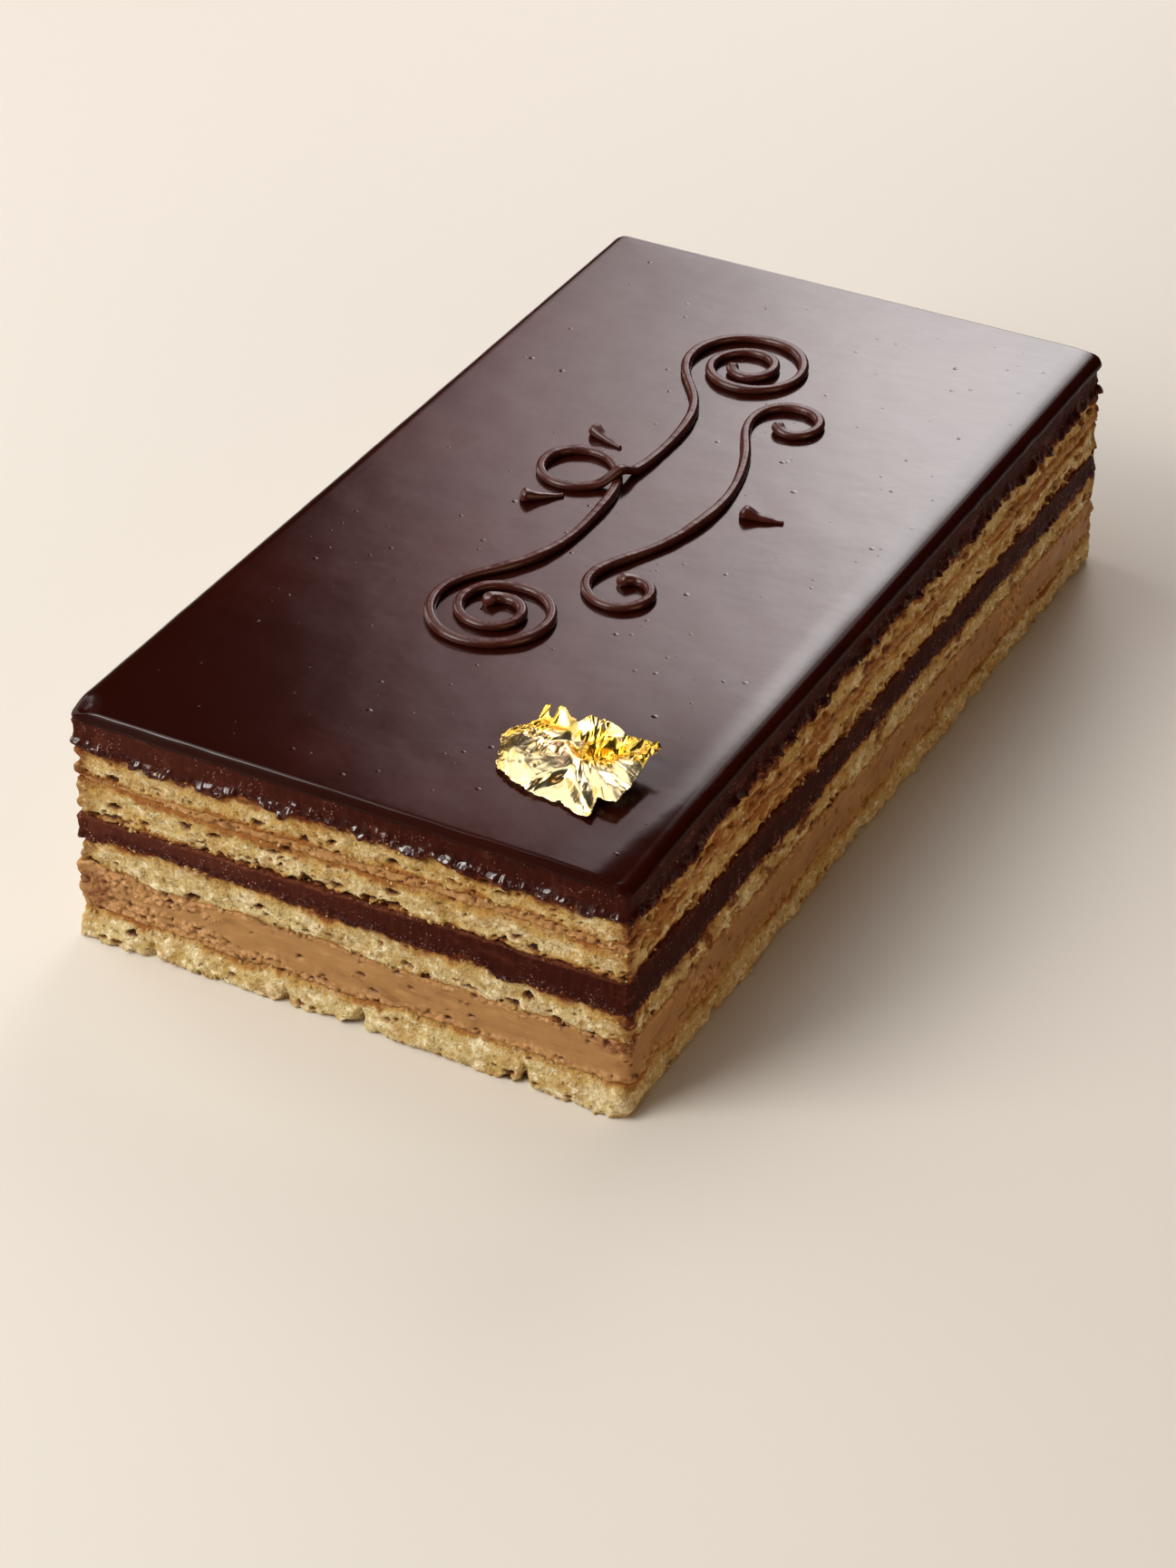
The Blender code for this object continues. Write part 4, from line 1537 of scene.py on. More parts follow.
@dataclass
class PipedLine:
    """A line of chocolate laid on the glaze: round above, flattened where it rests, beaded at its ends."""

    name: str
    flat: Array
    glaze: Glaze
    crossing: float | None = None
    end_radius: float = 1.2
    seed: int = 0
    radius: float = 0.85
    bead: float = 1.2
    bead_length: float = 4.0
    swell: float = 0.08
    swell_length: float = 23.0
    crossing_span: float = 4.5
    pressed: float = 0.86  # how high it climbs over itself, for its thickness
    sits: float = 0.72  # how high its middle lies, for its radius
    flattened: float = 0.85  # its lower half's height
    dip: float = 0.16  # along its top
    step: float = 0.28
    sides: int = 24
    scale: float = 0.93
    middle: Pair = (0, 9)

    def route(self) -> tuple[Array, Array]:
        """Return evenly spaced points of the line on the glaze, and the distance of each along it."""
        x, y = self.flat.T * self.scale
        laid = beside(self.middle[0] - y, self.middle[1] + x)
        gaps = np.linalg.norm(np.diff(laid, axis=0), axis=1)
        along = np.concatenate([[0], np.cumsum(gaps)])
        stops = np.linspace(0, along[-1], round(along[-1] / self.step) + 1)
        near_end = np.array([0.02, 0.07, 0.15, 0.4])
        stops = np.union1d(stops, np.concatenate([near_end, along[-1] - near_end]))
        even = beside(*(np.interp(stops, along, column) for column in laid.T))
        shiver = beside(stops, self.seed * 7.7, 0)
        sway = beside(*(swells(shiver, 13, self.seed + step) for step in (1, 2)))
        return even + 0.22 * sway, stops

    def radii(self, stops: Array) -> Array:
        """Work out how thick the line is, with a bead at each end.

        Args:
            stops: Distances along it.

        Returns:
            Its radius at each of them.
        """
        total = stops[-1]
        radius = self.radius * (1 + self.swell * np.sin(2 * math.pi * stops / self.swell_length))
        line = beside(stops, self.seed * 3.1, 0)
        uneven = 1 + 0.05 * swells(line, 3, self.seed + 3) + 0.02 * swells(line, 0.9, self.seed + 4)
        radius = radius * uneven
        for end, from_end in ((self.bead, stops), (self.end_radius, total - stops)):
            radius = radius + (end - self.radius) * rise(from_end, self.bead_length, 0.5)
        from_end = np.minimum(stops, total - stops)
        share = np.clip(from_end / radius, 0, 1)
        return radius * np.sqrt(np.clip(1 - (1 - share) ** 2, 0.0004, 1))

    def draft(self) -> Draft:
        """Build the line's closed skin.

        Returns:
            The draft.
        """
        place, stops = self.route()
        radius = self.radii(stops)
        lift = np.zeros_like(stops)
        if self.crossing is not None:
            near = np.clip(np.abs(stops - self.crossing * stops[-1]) / self.crossing_span, 0, 1)
            lift = (2 * self.radius * self.pressed) * np.cos(math.pi / 2 * near) ** 2
        height = self.glaze.surface_height(place[:, 0], place[:, 1]) + radius * self.sits + lift
        tangent = np.gradient(place, stops, axis=0)
        tangent /= np.linalg.norm(tangent, axis=1, keepdims=True)
        angle = circle(self.sides)[:, None]
        above = np.sin(angle)
        above = np.where(above < 0, above * self.flattened, above)
        above = above - self.dip * np.exp(-((angle - math.pi / 2) ** 2) / 0.14)
        reach = radius * np.cos(angle)
        x, y = place[:, 0] + tangent[:, 1] * reach, place[:, 1] - tangent[:, 0] * reach
        columns = beside(x, y, height + radius * above)
        rows = len(stops)
        faces = [grid_faces(self.sides, rows, closed=True), *Layer.caps(self.sides, rows)]
        points = np.concatenate([columns.reshape(-1, 3), Layer.middles(columns)])
        return Draft(self.name, points, faces, self.lay_out(rows))

    def lay_out(self, rows: int) -> list[Array]:
        """Lay the skin out in stacked lengths, one above the other, with both end caps beside them."""
        lengths = max(1, round(math.sqrt(rows / self.sides / 2)))
        owner, low, high = in_strips(rows - 1, lengths)
        low, high = low * 0.96, high * 0.96
        spoke = np.arange(self.sides)[:, None] / self.sides
        step = 1 / self.sides
        band = beside(spoke, spoke + step, spoke + step, spoke)
        v = (owner[None, :, None] + 0.02 + 0.96 * band) / lengths
        skin = beside(beside(low, low, high, high)[None], v).reshape(-1, 2)
        angle = circle(self.sides)
        rim = beside(np.cos(angle), np.sin(angle)) * 0.012
        following = np.roll(rim, -1, axis=0)
        caps = [
            np.stack([*order, np.zeros_like(rim)], axis=1) + middle
            for middle, order in (((0.98, 0.25), (following, rim)), ((0.98, 0.75), (rim, following)))
        ]
        return [skin, *caps]


class Piping:
    """The flourish, the swag under it and the drops between them."""

    FLOURISH: ClassVar[Pairs] = (
        (0, 9.2), (11, 8.8), (10, 3), (12, 0.3), (11, 1.8), (10, 2.4), (5, 0),
        (8, -4.6), (13, -5.4), (21, -5.8), (21, -7.4), (19, -10.5), (12, -15), (5, -24),
    )  # fmt: skip
    SWAG: ClassVar[Pairs] = (
        (0, 1), (11, 1.4), (9, 1.3), (6, -1.5), (8, -8), (10, -10), (11, -14), (6, -24),
    )  # fmt: skip
    DROP: ClassVar[Pairs] = ((0, 2), (8, 2))
    DROPS: ClassVar[tuple[tuple[str, Pair, float], ...]] = (
        ("left", (-13.5, 19), -60),
        ("right", (13.5, 19), -120),
        ("foot", (0, -16.5), -90),
    )
    DROP_RADII: ClassVar[dict[str, float]] = {"bead": 1.3, "radius": 0.66, "end_radius": 0.3}

    def __init__(self, glaze: Glaze) -> None:
        """Keep the glaze that the lines lie on."""
        self.glaze = glaze

    def drafts(self) -> list[tuple[Draft, str]]:
        """Build every line.

        Returns:
            The drafts, each with the name of the solid that it stands for.
        """
        half = Stroke((0, 21), 180, self.FLOURISH)
        points = half.mirrored()
        x = half.points[:, 0]
        crosses = next(index for index in range(20, len(x)) if x[index - 1] < 0 <= x[index])
        share = (len(half.points) - 1 + crosses) / (len(points) - 1)
        swag = Stroke((0, -12.5), 0, self.SWAG).mirrored()
        lines = [
            (PipedLine("flourish_line", points, self.glaze, crossing=share, seed=1), "piped_flourish"),
            (PipedLine("swag_line", swag, self.glaze, seed=2), "piped_swag"),
        ]
        for index, (side, start, heading) in enumerate(self.DROPS):
            flat = Stroke(start, heading, self.DROP).points
            line = PipedLine(f"drop_line_{side}", flat, self.glaze, seed=3 + index, **self.DROP_RADII)
            lines.append((line, f"piped_drop_{side}"))
        return [(line.draft(), node) for line, node in lines]


@dataclass
class GoldLeaf:
    """A torn piece of gold leaf: flat planes between folds, drawn wrinkles and flaps that stand up.

    Places on it are in millimetres from its middle, and heights are above the glaze.
    """

    glaze: Glaze
    middle: Pair
    cells: int = 220
    half: float = 12.7  # of the square sheet that it is torn from
    thickness: float = 0.04
    softness: float = 2.0  # how far folds are rounded, in cells
    seed: int = 77

    # The torn edge, clockwise from the left tip as seen from above.
    EDGE: ClassVar[Triples] = (
        (-12.2, 3.3, 0.8), (-10.7, 0.1, 0.6), (-9.6, -3, 0.6), (-8.6, -4.7, 0.5), (-4.2, -6.8, 0.45),
        (-2.9, -7.2, 0.4), (2.9, -8.1, 0.35), (3.15, -7.6, 0.5), (5.9, -8.8, 0.3), (7.9, -9.3, 0.3),
        (8.9, -9.1, 0.9), (8.8, -7.6, 1.4), (8.1, -5.9, 1.7), (11.4, -5.7, 2), (11.6, -1.8, 2.2),
        (11.3, 1.4, 2.6), (11.2, 5, 3.3), (12.2, 7.1, 3.3), (11.5, 7.5, 4.4), (9.3, 7.7, 3.6),
        (7.5, 7.9, 3.9), (6.2, 7.6, 4.3), (1.8, 8.6, 5), (0.5, 8.6, 4.9), (-1.2, 8.4, 4.2),
        (-2.2, 8, 3.5), (-5.4, 8.9, 5), (-6.3, 7.6, 2.5), (-7.2, 9.2, 4.3), (-7.9, 9.3, 4.3),
        (-8.4, 7.6, 1.8), (-9.2, 7.3, 1), (-10.6, 6.2, 0.8), (-11.4, 4.5, 1.4), (-11.5, 3.9, 0.9),
    )  # fmt: skip
    # Lines along which the sheet is folded.
    FOLDS: ClassVar[tuple[Triples, ...]] = (
        ((8.6, -8.6, 1.3), (6.7, -7.3, 2.3), (4.6, -5.1, 2.9), (2.6, -2.1, 3.2), (0.5, 0.7, 3.1),
         (-1.6, 3.2, 2.9)),
        ((7.7, -8.7, 0.6), (5.9, -7.5, 1), (3.6, -5.7, 1.3), (1.9, -3.5, 1.7)),
        ((8.2, -6.9, 1.4), (6.9, -5.4, 1.9), (5.2, -3.2, 2.4), (3.7, -1.2, 2.7)),
        ((-2.5, -7, 0.9), (-1.9, -6.5, 1.7), (0, -5.2, 2.4), (1.5, -3.1, 2.8)),
        ((-1.6, -7, 0.5), (0.6, -5.7, 0.9), (1.9, -3.9, 1.6)),
        ((2.5, 0.3, 3), (4.3, -1.4, 3.1), (6.2, -1.6, 3), (6.9, 1.2, 3.2), (8.1, 4.2, 3.4)),
        ((-8.4, 2.8, 2.3), (-8.1, -0.6, 2.2), (-7.6, -4.2, 1.2)),
        ((-6, 6.7, 2.2), (-2.6, 6.5, 2.5)),
        ((-0.8, 6.3, 2), (1.6, 6.3, 1.9), (3.9, 5.9, 3.2)),
    )  # fmt: skip
    # Single places of known height, between the folds.
    SPOTS: ClassVar[Triples] = (
        (-3.6, 0.6, 2.9), (-1.2, -2.2, 2.8), (-4.5, -3.2, 2.2), (-6.4, -1, 2.3), (-6.2, 2, 2.8),
        (-3.2, 3.4, 2.4), (-8.5, 5.2, 1.9), (-6.8, 4.2, 1.3), (-5, 5.2, 2.7), (-1.4, 5, 1.7),
        (0.3, 3.4, 1.6), (2.2, 4.6, 1), (4.6, 4.4, 0.9), (3.2, 2.8, 1.2), (5.8, 5.4, 1.4),
        (1.3, 2, 2), (6.6, 6.4, 2.9), (7.8, 6.9, 3.9), (8.8, 5.7, 2.9), (10, 6.5, 3.9),
        (7.1, 4.9, 2.3), (10.3, 4.4, 3.2), (8.8, -3.4, 2.8), (9.5, 0.6, 3.2), (7.8, -0.6, 2.7),
        (-5.5, -6, 0.7),
    )  # fmt: skip
    BOWL: ClassVar[Pair] = (3.6, 4.2)  # the middle of its hollow

    def planes(self, flat: Array) -> Array:
        """Hang flat planes between the folds, the spots and the torn edge.

        Args:
            flat: The sheet's points before it is crumpled.

        Returns:
            Their height at each point, or nan beyond the torn edge.
        """
        runs = [*self.FOLDS, *((spot,) for spot in self.SPOTS), (*self.EDGE, self.EDGE[0])]
        corners = [corner for run in runs for corner in run]
        last = {end - 1 for end in itertools.accumulate(len(run) for run in runs)}
        edges = [(index, index + 1) for index in range(len(corners)) if index not in last]
        net = delaunay_2d_cdt([Vector(corner[:2]) for corner in corners], edges, [], 0, 1e-5)
        place, triangles, origins = np.array(net[0]), net[2], net[3]
        level = np.array([np.mean([corners[origin][2] for origin in known or [0]]) for known in origins])
        height = np.full(flat.shape[:-1], math.nan)
        for triangle in triangles:
            a, b, c = place[list(triangle)]
            twice = (b[0] - a[0]) * (c[1] - a[1]) - (b[1] - a[1]) * (c[0] - a[0])
            away = flat[..., :2] - a
            second = (away[..., 0] * (c[1] - a[1]) - away[..., 1] * (c[0] - a[0])) / twice
            third = (away[..., 1] * (b[0] - a[0]) - away[..., 0] * (b[1] - a[1])) / twice
            inside = (second >= -1e-6) & (third >= -1e-6) & (second + third <= 1 + 1e-6)
            corner = level[list(triangle)]
            height[inside] = corner[0] + (corner[1:] - corner[0]) @ np.stack([second, third])[:, inside]
        return height

    def softened(self, height: Array) -> Array:
        """Round the folds a little, leaving out what lies beyond the leaf."""
        known = ~np.isnan(height)
        layers = np.stack([np.where(known, height, 0), known.astype(float)])
        weights = [(step, math.exp(-0.5 * (step / self.softness) ** 2)) for step in range(-6, 7)]
        for axis in (1, 2):
            layers = sum(np.roll(layers, step, axis=axis) * weight for step, weight in weights)
        return layers[0] / np.maximum(layers[1], 1e-6)

    def drawn(self, across: Array, along: Array, shift: float) -> Array:
        """Return ridges that run along, their tops sharper than the dips between them."""
        wave = swells(beside(across, along, shift), 1, self.seed + 30)
        return 1 - 2 * np.sqrt(np.abs(wave) + 0.01)

    def wrinkles(self, flat: Array) -> Array:
        """Draw wrinkles: arcs round the left lobe, rays below the bowl and pleats in the flaps.

        Args:
            flat: The sheet's points before it is crumpled.

        Returns:
            How far the wrinkles raise each point.
        """
        x, y = flat[..., 0], flat[..., 1]
        drawn = self.drawn
        patchy = rise(swells(flat, 2.6, self.seed + 31), -0.3, 0.4)
        far, turn = np.hypot(x - 1.5, y - 1.2), np.arctan2(y - 1.2, x - 1.5)
        lobe = rise(x - 0.75 * y, 1, -1.5) * rise(y, 5, 3) * rise(far, 1.5, 3) * rise(x, -8.6, -7.6)
        lobe = lobe * rise(0.62 * x - 0.78 * y, 4.6, 3.4)
        arcs = 0.13 * drawn(far / 1.9, turn * 1.1, 0) + 0.15 * patchy * drawn(far / 0.8, turn * 1.4, 2)
        total = lobe * arcs
        far, turn = np.hypot(x - 1, y - 4.5), np.arctan2(y - 4.5, x - 1)
        below = rise(far, 4, 6) * rise(x + 0.62 * y, -0.4, 1.2) * rise(y, 2.2, 0.6)
        rays = 0.09 * drawn(turn * 4.5, far / 11, 5) + 0.08 * patchy * drawn(turn * 11, far / 7, 7)
        total += below * rays
        crown = rise(y, 4.8, 6.6) * rise(x, -1.9, -0.9) * rise(x - 0.55 * (y - 6), 3.2, 2.2)
        right = rise(x, 5.2, 6.4) * rise(y, 2.6, 4.4)
        corner = rise(-x, 4.6, 6) * rise(y, 2.6, 4.4)
        for flap, across, along, width, length, shift in (
            (crown, x / 2.1 + y / 9, y / 4, 0.9, 1.6, 9),
            (right, x / 1.9 + y / 3.5, y / 3, 0.8, 1.2, 13),
            (corner, x / 1.7 - y / 3, y / 3, 0.8, 1.1, 17),
        ):
            fine = 0.16 if flap is crown else 0.12
            pleats = 0.34 * drawn(across, along, shift) + fine * drawn(x / width, y / length, shift + 1)
            total += flap * pleats
        away = np.hypot(x - self.BOWL[0], (y - self.BOWL[1]) * 1.2)
        swirl = np.cos(2 * np.arctan2(y - self.BOWL[1], x - self.BOWL[0]) + 2.6 * away)
        total += rise(away, 3.6, 2) * (0.34 * swirl + 0.3 * drawn(x / 1.4, y / 1.2, 21))
        across, along = 0.55 * x - 0.83 * y - 4.55, 0.83 * x + 0.55 * y
        stripes = np.exp(-((across / 0.8) ** 2)) * rise(x, -2.8, -1.8) * rise(x, 2.8, 1.8)
        total += 0.2 * stripes * drawn((across + 0.25 * along) / 0.62, along / 2.4, 23)
        strip = rise(x + 0.1 * y, -7.9, -8.5)
        return total + 0.06 * strip * drawn(x / 0.8, y / 4, 25) + 0.03 * drawn(x / 2.1, y / 1.7, 29)

    def sheet(self) -> tuple[Array, Array, Array]:
        """Return the crumpled sheet's points, how much painted shade each gets in folds, hollow and flaps,
        and which lie in the leaf.
        """
        steps = np.linspace(-self.half, self.half, self.cells + 1)
        x, y = np.meshgrid(steps, steps, indexing="ij")
        flat = beside(x, y, 0)
        sway = beside(*(swells(flat, 3, self.seed + step) for step in (6, 7)))
        creased = self.wrinkles(flat)
        z = np.maximum(self.softened(self.planes(flat)) + creased, 0.12)
        # Painted shade: deeper gold in the hollow, the creases, the left strip and parts of the flaps.
        away = np.hypot(x - self.BOWL[0] - 0.2, (y - self.BOWL[1] + 1.2) * 1.1)
        depth = rise(away, 5.2, 3) + 0.35 * rise(y, 5.2, 6.5) * rise(z, 4.2, 2.2)
        depth += 0.8 * rise(np.abs(creased), 0.03, 0.12) + 0.6 * rise(x + 0.1 * y, -7.6, -8.8)
        depth += 0.6 * rise(y, 4.4, 6) * rise(-x, 1, 3) + 0.6 * rise(x, 5, 7) * rise(y, 1.6, 3.2)
        depth = np.clip(depth, 0, 1)
        place = np.concatenate([flat[..., :2] + 0.3 * sway, z[..., None]], axis=-1)
        return place, depth, self.inside(flat)

    def inside(self, flat: Array) -> Array:
        """Tell which points lie within the torn outline."""
        shift = [waves(flat, self.seed + step, (0.2, 1.3, 0), (0.12, 0.5, 1)) for step in (8, 10)]
        x, y = flat[..., 0] + shift[0], flat[..., 1] + shift[1]
        crossed = np.zeros(x.shape, dtype=int)
        for (x1, y1, _), (x2, y2, _) in zip(self.EDGE, (*self.EDGE[1:], self.EDGE[0])):
            if y1 != y2:
                where = x1 + (y - y1) / (y2 - y1) * (x2 - x1)
                crossed += ((y1 > y) != (y2 > y)) & (x < where)
        return crossed % 2 == 1

    def draft(self) -> Draft:
        """Build the leaf as a closed sheet of its own thickness.

        Returns:
            The draft.
        """
        points, depth, kept = self.sheet()
        size = self.cells + 1
        quads = grid_faces(size, size, closed=False)
        inside = kept.ravel()[quads].all(axis=1)
        quads = self.largest_part(quads[inside])
        used, index = np.unique(quads, return_inverse=True)
        quads = index.reshape(-1, 4)
        laid = self.eased(points.reshape(-1, 3)[used], quads)
        laid[:, :2] += self.middle
        laid[:, 2] += self.glaze.surface_height(laid[:, 0], laid[:, 1])
        return self.thicken(laid, quads, depth.ravel()[used], used)

    @staticmethod
    def torn_edges(quads: Array, count: int) -> Array:
        """List the edges that only one quad has."""
        edges = np.concatenate([quads[:, [i, (i + 1) % 4]] for i in range(4)])
        keys = edges[:, 0] * count + edges[:, 1]
        return edges[~np.isin(keys, edges[:, 1] * count + edges[:, 0])]

    def eased(self, points: Array, quads: Array) -> Array:
        """Even out the steps that the sheet's grid leaves along the torn edge.

        Args:
            points: The leaf's points.
            quads: Its faces.

        Returns:
            The points after that.
        """
        edges = self.torn_edges(quads, len(points))
        points = points.copy()
        for _ in range(4):
            total, known = np.zeros_like(points), np.zeros(len(points))
            for one, other in ((0, 1), (1, 0)):
                np.add.at(total, edges[:, one], points[edges[:, other]])
                np.add.at(known, edges[:, one], 1)
            edge = known > 0
            points[edge] += (total[edge] / known[edge, None] - points[edge]) * 0.5
        return points

    @staticmethod
    def largest_part(quads: Array) -> Array:
        """Keep the one connected patch that holds most of the sheet.

        Args:
            quads: All the faces.

        Returns:
            Those of the patch.
        """
        label = np.arange(quads.max() + 1)
        lowest, before = label[quads].min(axis=1), None
        while not np.array_equal(lowest, before):
            before = lowest
            np.minimum.at(label, quads, lowest[:, None])
            label = label[label]
            lowest = label[quads].min(axis=1)
        return quads[lowest == np.bincount(lowest).argmax()]

    def thicken(self, points: Array, quads: Array, depth: Array, used: Array) -> Draft:
        """Give the sheet its two faces and close them along the torn edge.

        Args:
            points: The leaf's points.
            quads: Its faces.
            depth: How much painted shade each point gets, most in the folds.
            used: Each point's number in the whole grid.

        Returns:
            The draft.
        """
        a, b, c, d = (points[quads[:, corner]] for corner in range(4))
        face_normal = np.cross(c - a, d - b)
        normal = np.zeros_like(points)
        for corner in range(4):
            np.add.at(normal, quads[:, corner], face_normal)
        normal /= np.maximum(np.linalg.norm(normal, axis=1, keepdims=True), 1e-9)
        count = len(points)
        both = np.concatenate([points + normal * self.thickness / 2, points - normal * self.thickness / 2])
        start, end = self.torn_edges(quads, count).T
        rim = beside(end, start, start + count, end + count)
        size = self.cells + 1
        home = beside(used // size, used % size) / size * (0.49, 0.96)
        spots = home + (0.005, 0.02)
        upper, lower = spots[quads], (home + (0.505, 0.02))[quads][:, ::-1]
        edge_spots = spots[rim % count]
        edge_spots[:, 2:] += (0.0006, 0.0006)
        faces = [quads, quads[:, ::-1] + count, rim]
        marks = {"fold": np.concatenate([depth, depth])}
        return Draft("leaf_foil", both, faces, [upper, lower, edge_spots], marks)


class Place(Enum):
    """Where on a sponge's cut side crumbs gather: from which share of its height to which."""

    FOOT = (0, 0.12)
    HEAD = (0.9, 1)
    FACE = (0, 1)


@dataclass
class Crumbs:
    """Loose crumbs that cling to a sponge's cut side, all in one mesh."""

    name: str
    count: int
    smallest: float = 0.13
    largest: float = 0.42
    seed: int = 5
    shares: tuple[tuple[Place, float], ...] = ((Place.FOOT, 0.4), (Place.HEAD, 0.2), (Place.FACE, 0.4))

    def spots(self, layer: Layer, chance: np.random.Generator, count: int) -> tuple[Array, Array]:
        """Choose places on a layer's side.

        Args:
            layer: The layer.
            chance: The source of random draws.
            count: How many places.

        Returns:
            The places, and which way the side faces there.
        """
        columns, rows = layer.surface.shape[:2]
        column = chance.integers(0, columns, count)
        kinds = chance.choice(len(self.shares), count, p=[share for _, share in self.shares])
        low, high = np.array([place.value for place, _ in self.shares])[kinds].T
        row = ((low + (high - low) * chance.random(count)) * (rows - 1)).round().astype(int)
        return layer.surface[column, row], layer.outline.facing[column]

    def draft(self, layers: list[Layer]) -> Draft:
        """Build the crumbs.

        Args:
            layers: The layers that they cling to.

        Returns:
            The draft.
        """
        chance = np.random.default_rng(self.seed)
        ball = bmesh.new()
        bmesh.ops.create_icosphere(ball, subdivisions=1, radius=1)
        shape = np.array([vertex.co for vertex in ball.verts])
        triangles = np.array([[vertex.index for vertex in face.verts] for face in ball.faces])
        ball.free()
        chosen = [self.spots(layer, chance, self.count // len(layers)) for layer in layers]
        centre, facing = (np.concatenate(parts) for parts in zip(*chosen))
        total = len(centre)
        size = self.smallest + (self.largest - self.smallest) * chance.random(total) ** 2.2
        stretch = chance.uniform(0.65, 1.25, (total, 1, 3))
        seeds = chance.uniform(0, 900, (total, 1, 3))
        lumps = 1 + 0.38 * swells(shape[None] + seeds, 0.9, self.seed)
        local = shape[None] * stretch * lumps[..., None] * size[:, None, None]
        centre[:, :2] += facing * (size * 0.35)[:, None]
        centre[:, 2] = np.maximum(centre[:, 2], size * 0.8)
        points = centre[:, None] + local
        points[..., 2] = np.maximum(points[..., 2], 0)
        base = np.arange(total)[:, None, None] * len(shape)
        faces = (triangles[None] + base).reshape(-1, 3)
        layout = in_tiles(total, shape[:, :2] * 0.4 + 0.5 + shape[:, 2:] * 0.04)[faces]
        tone = np.repeat(chance.random(total) ** 2, len(shape))
        marks = {"hole": tone * 0, "toast": tone * 0.15, "soak": tone * 0.4, "crest": 0.5 + tone * 0.4}
        return Draft(self.name, points.reshape(-1, 3), [faces], [layout], marks)


# The cake and the studio.


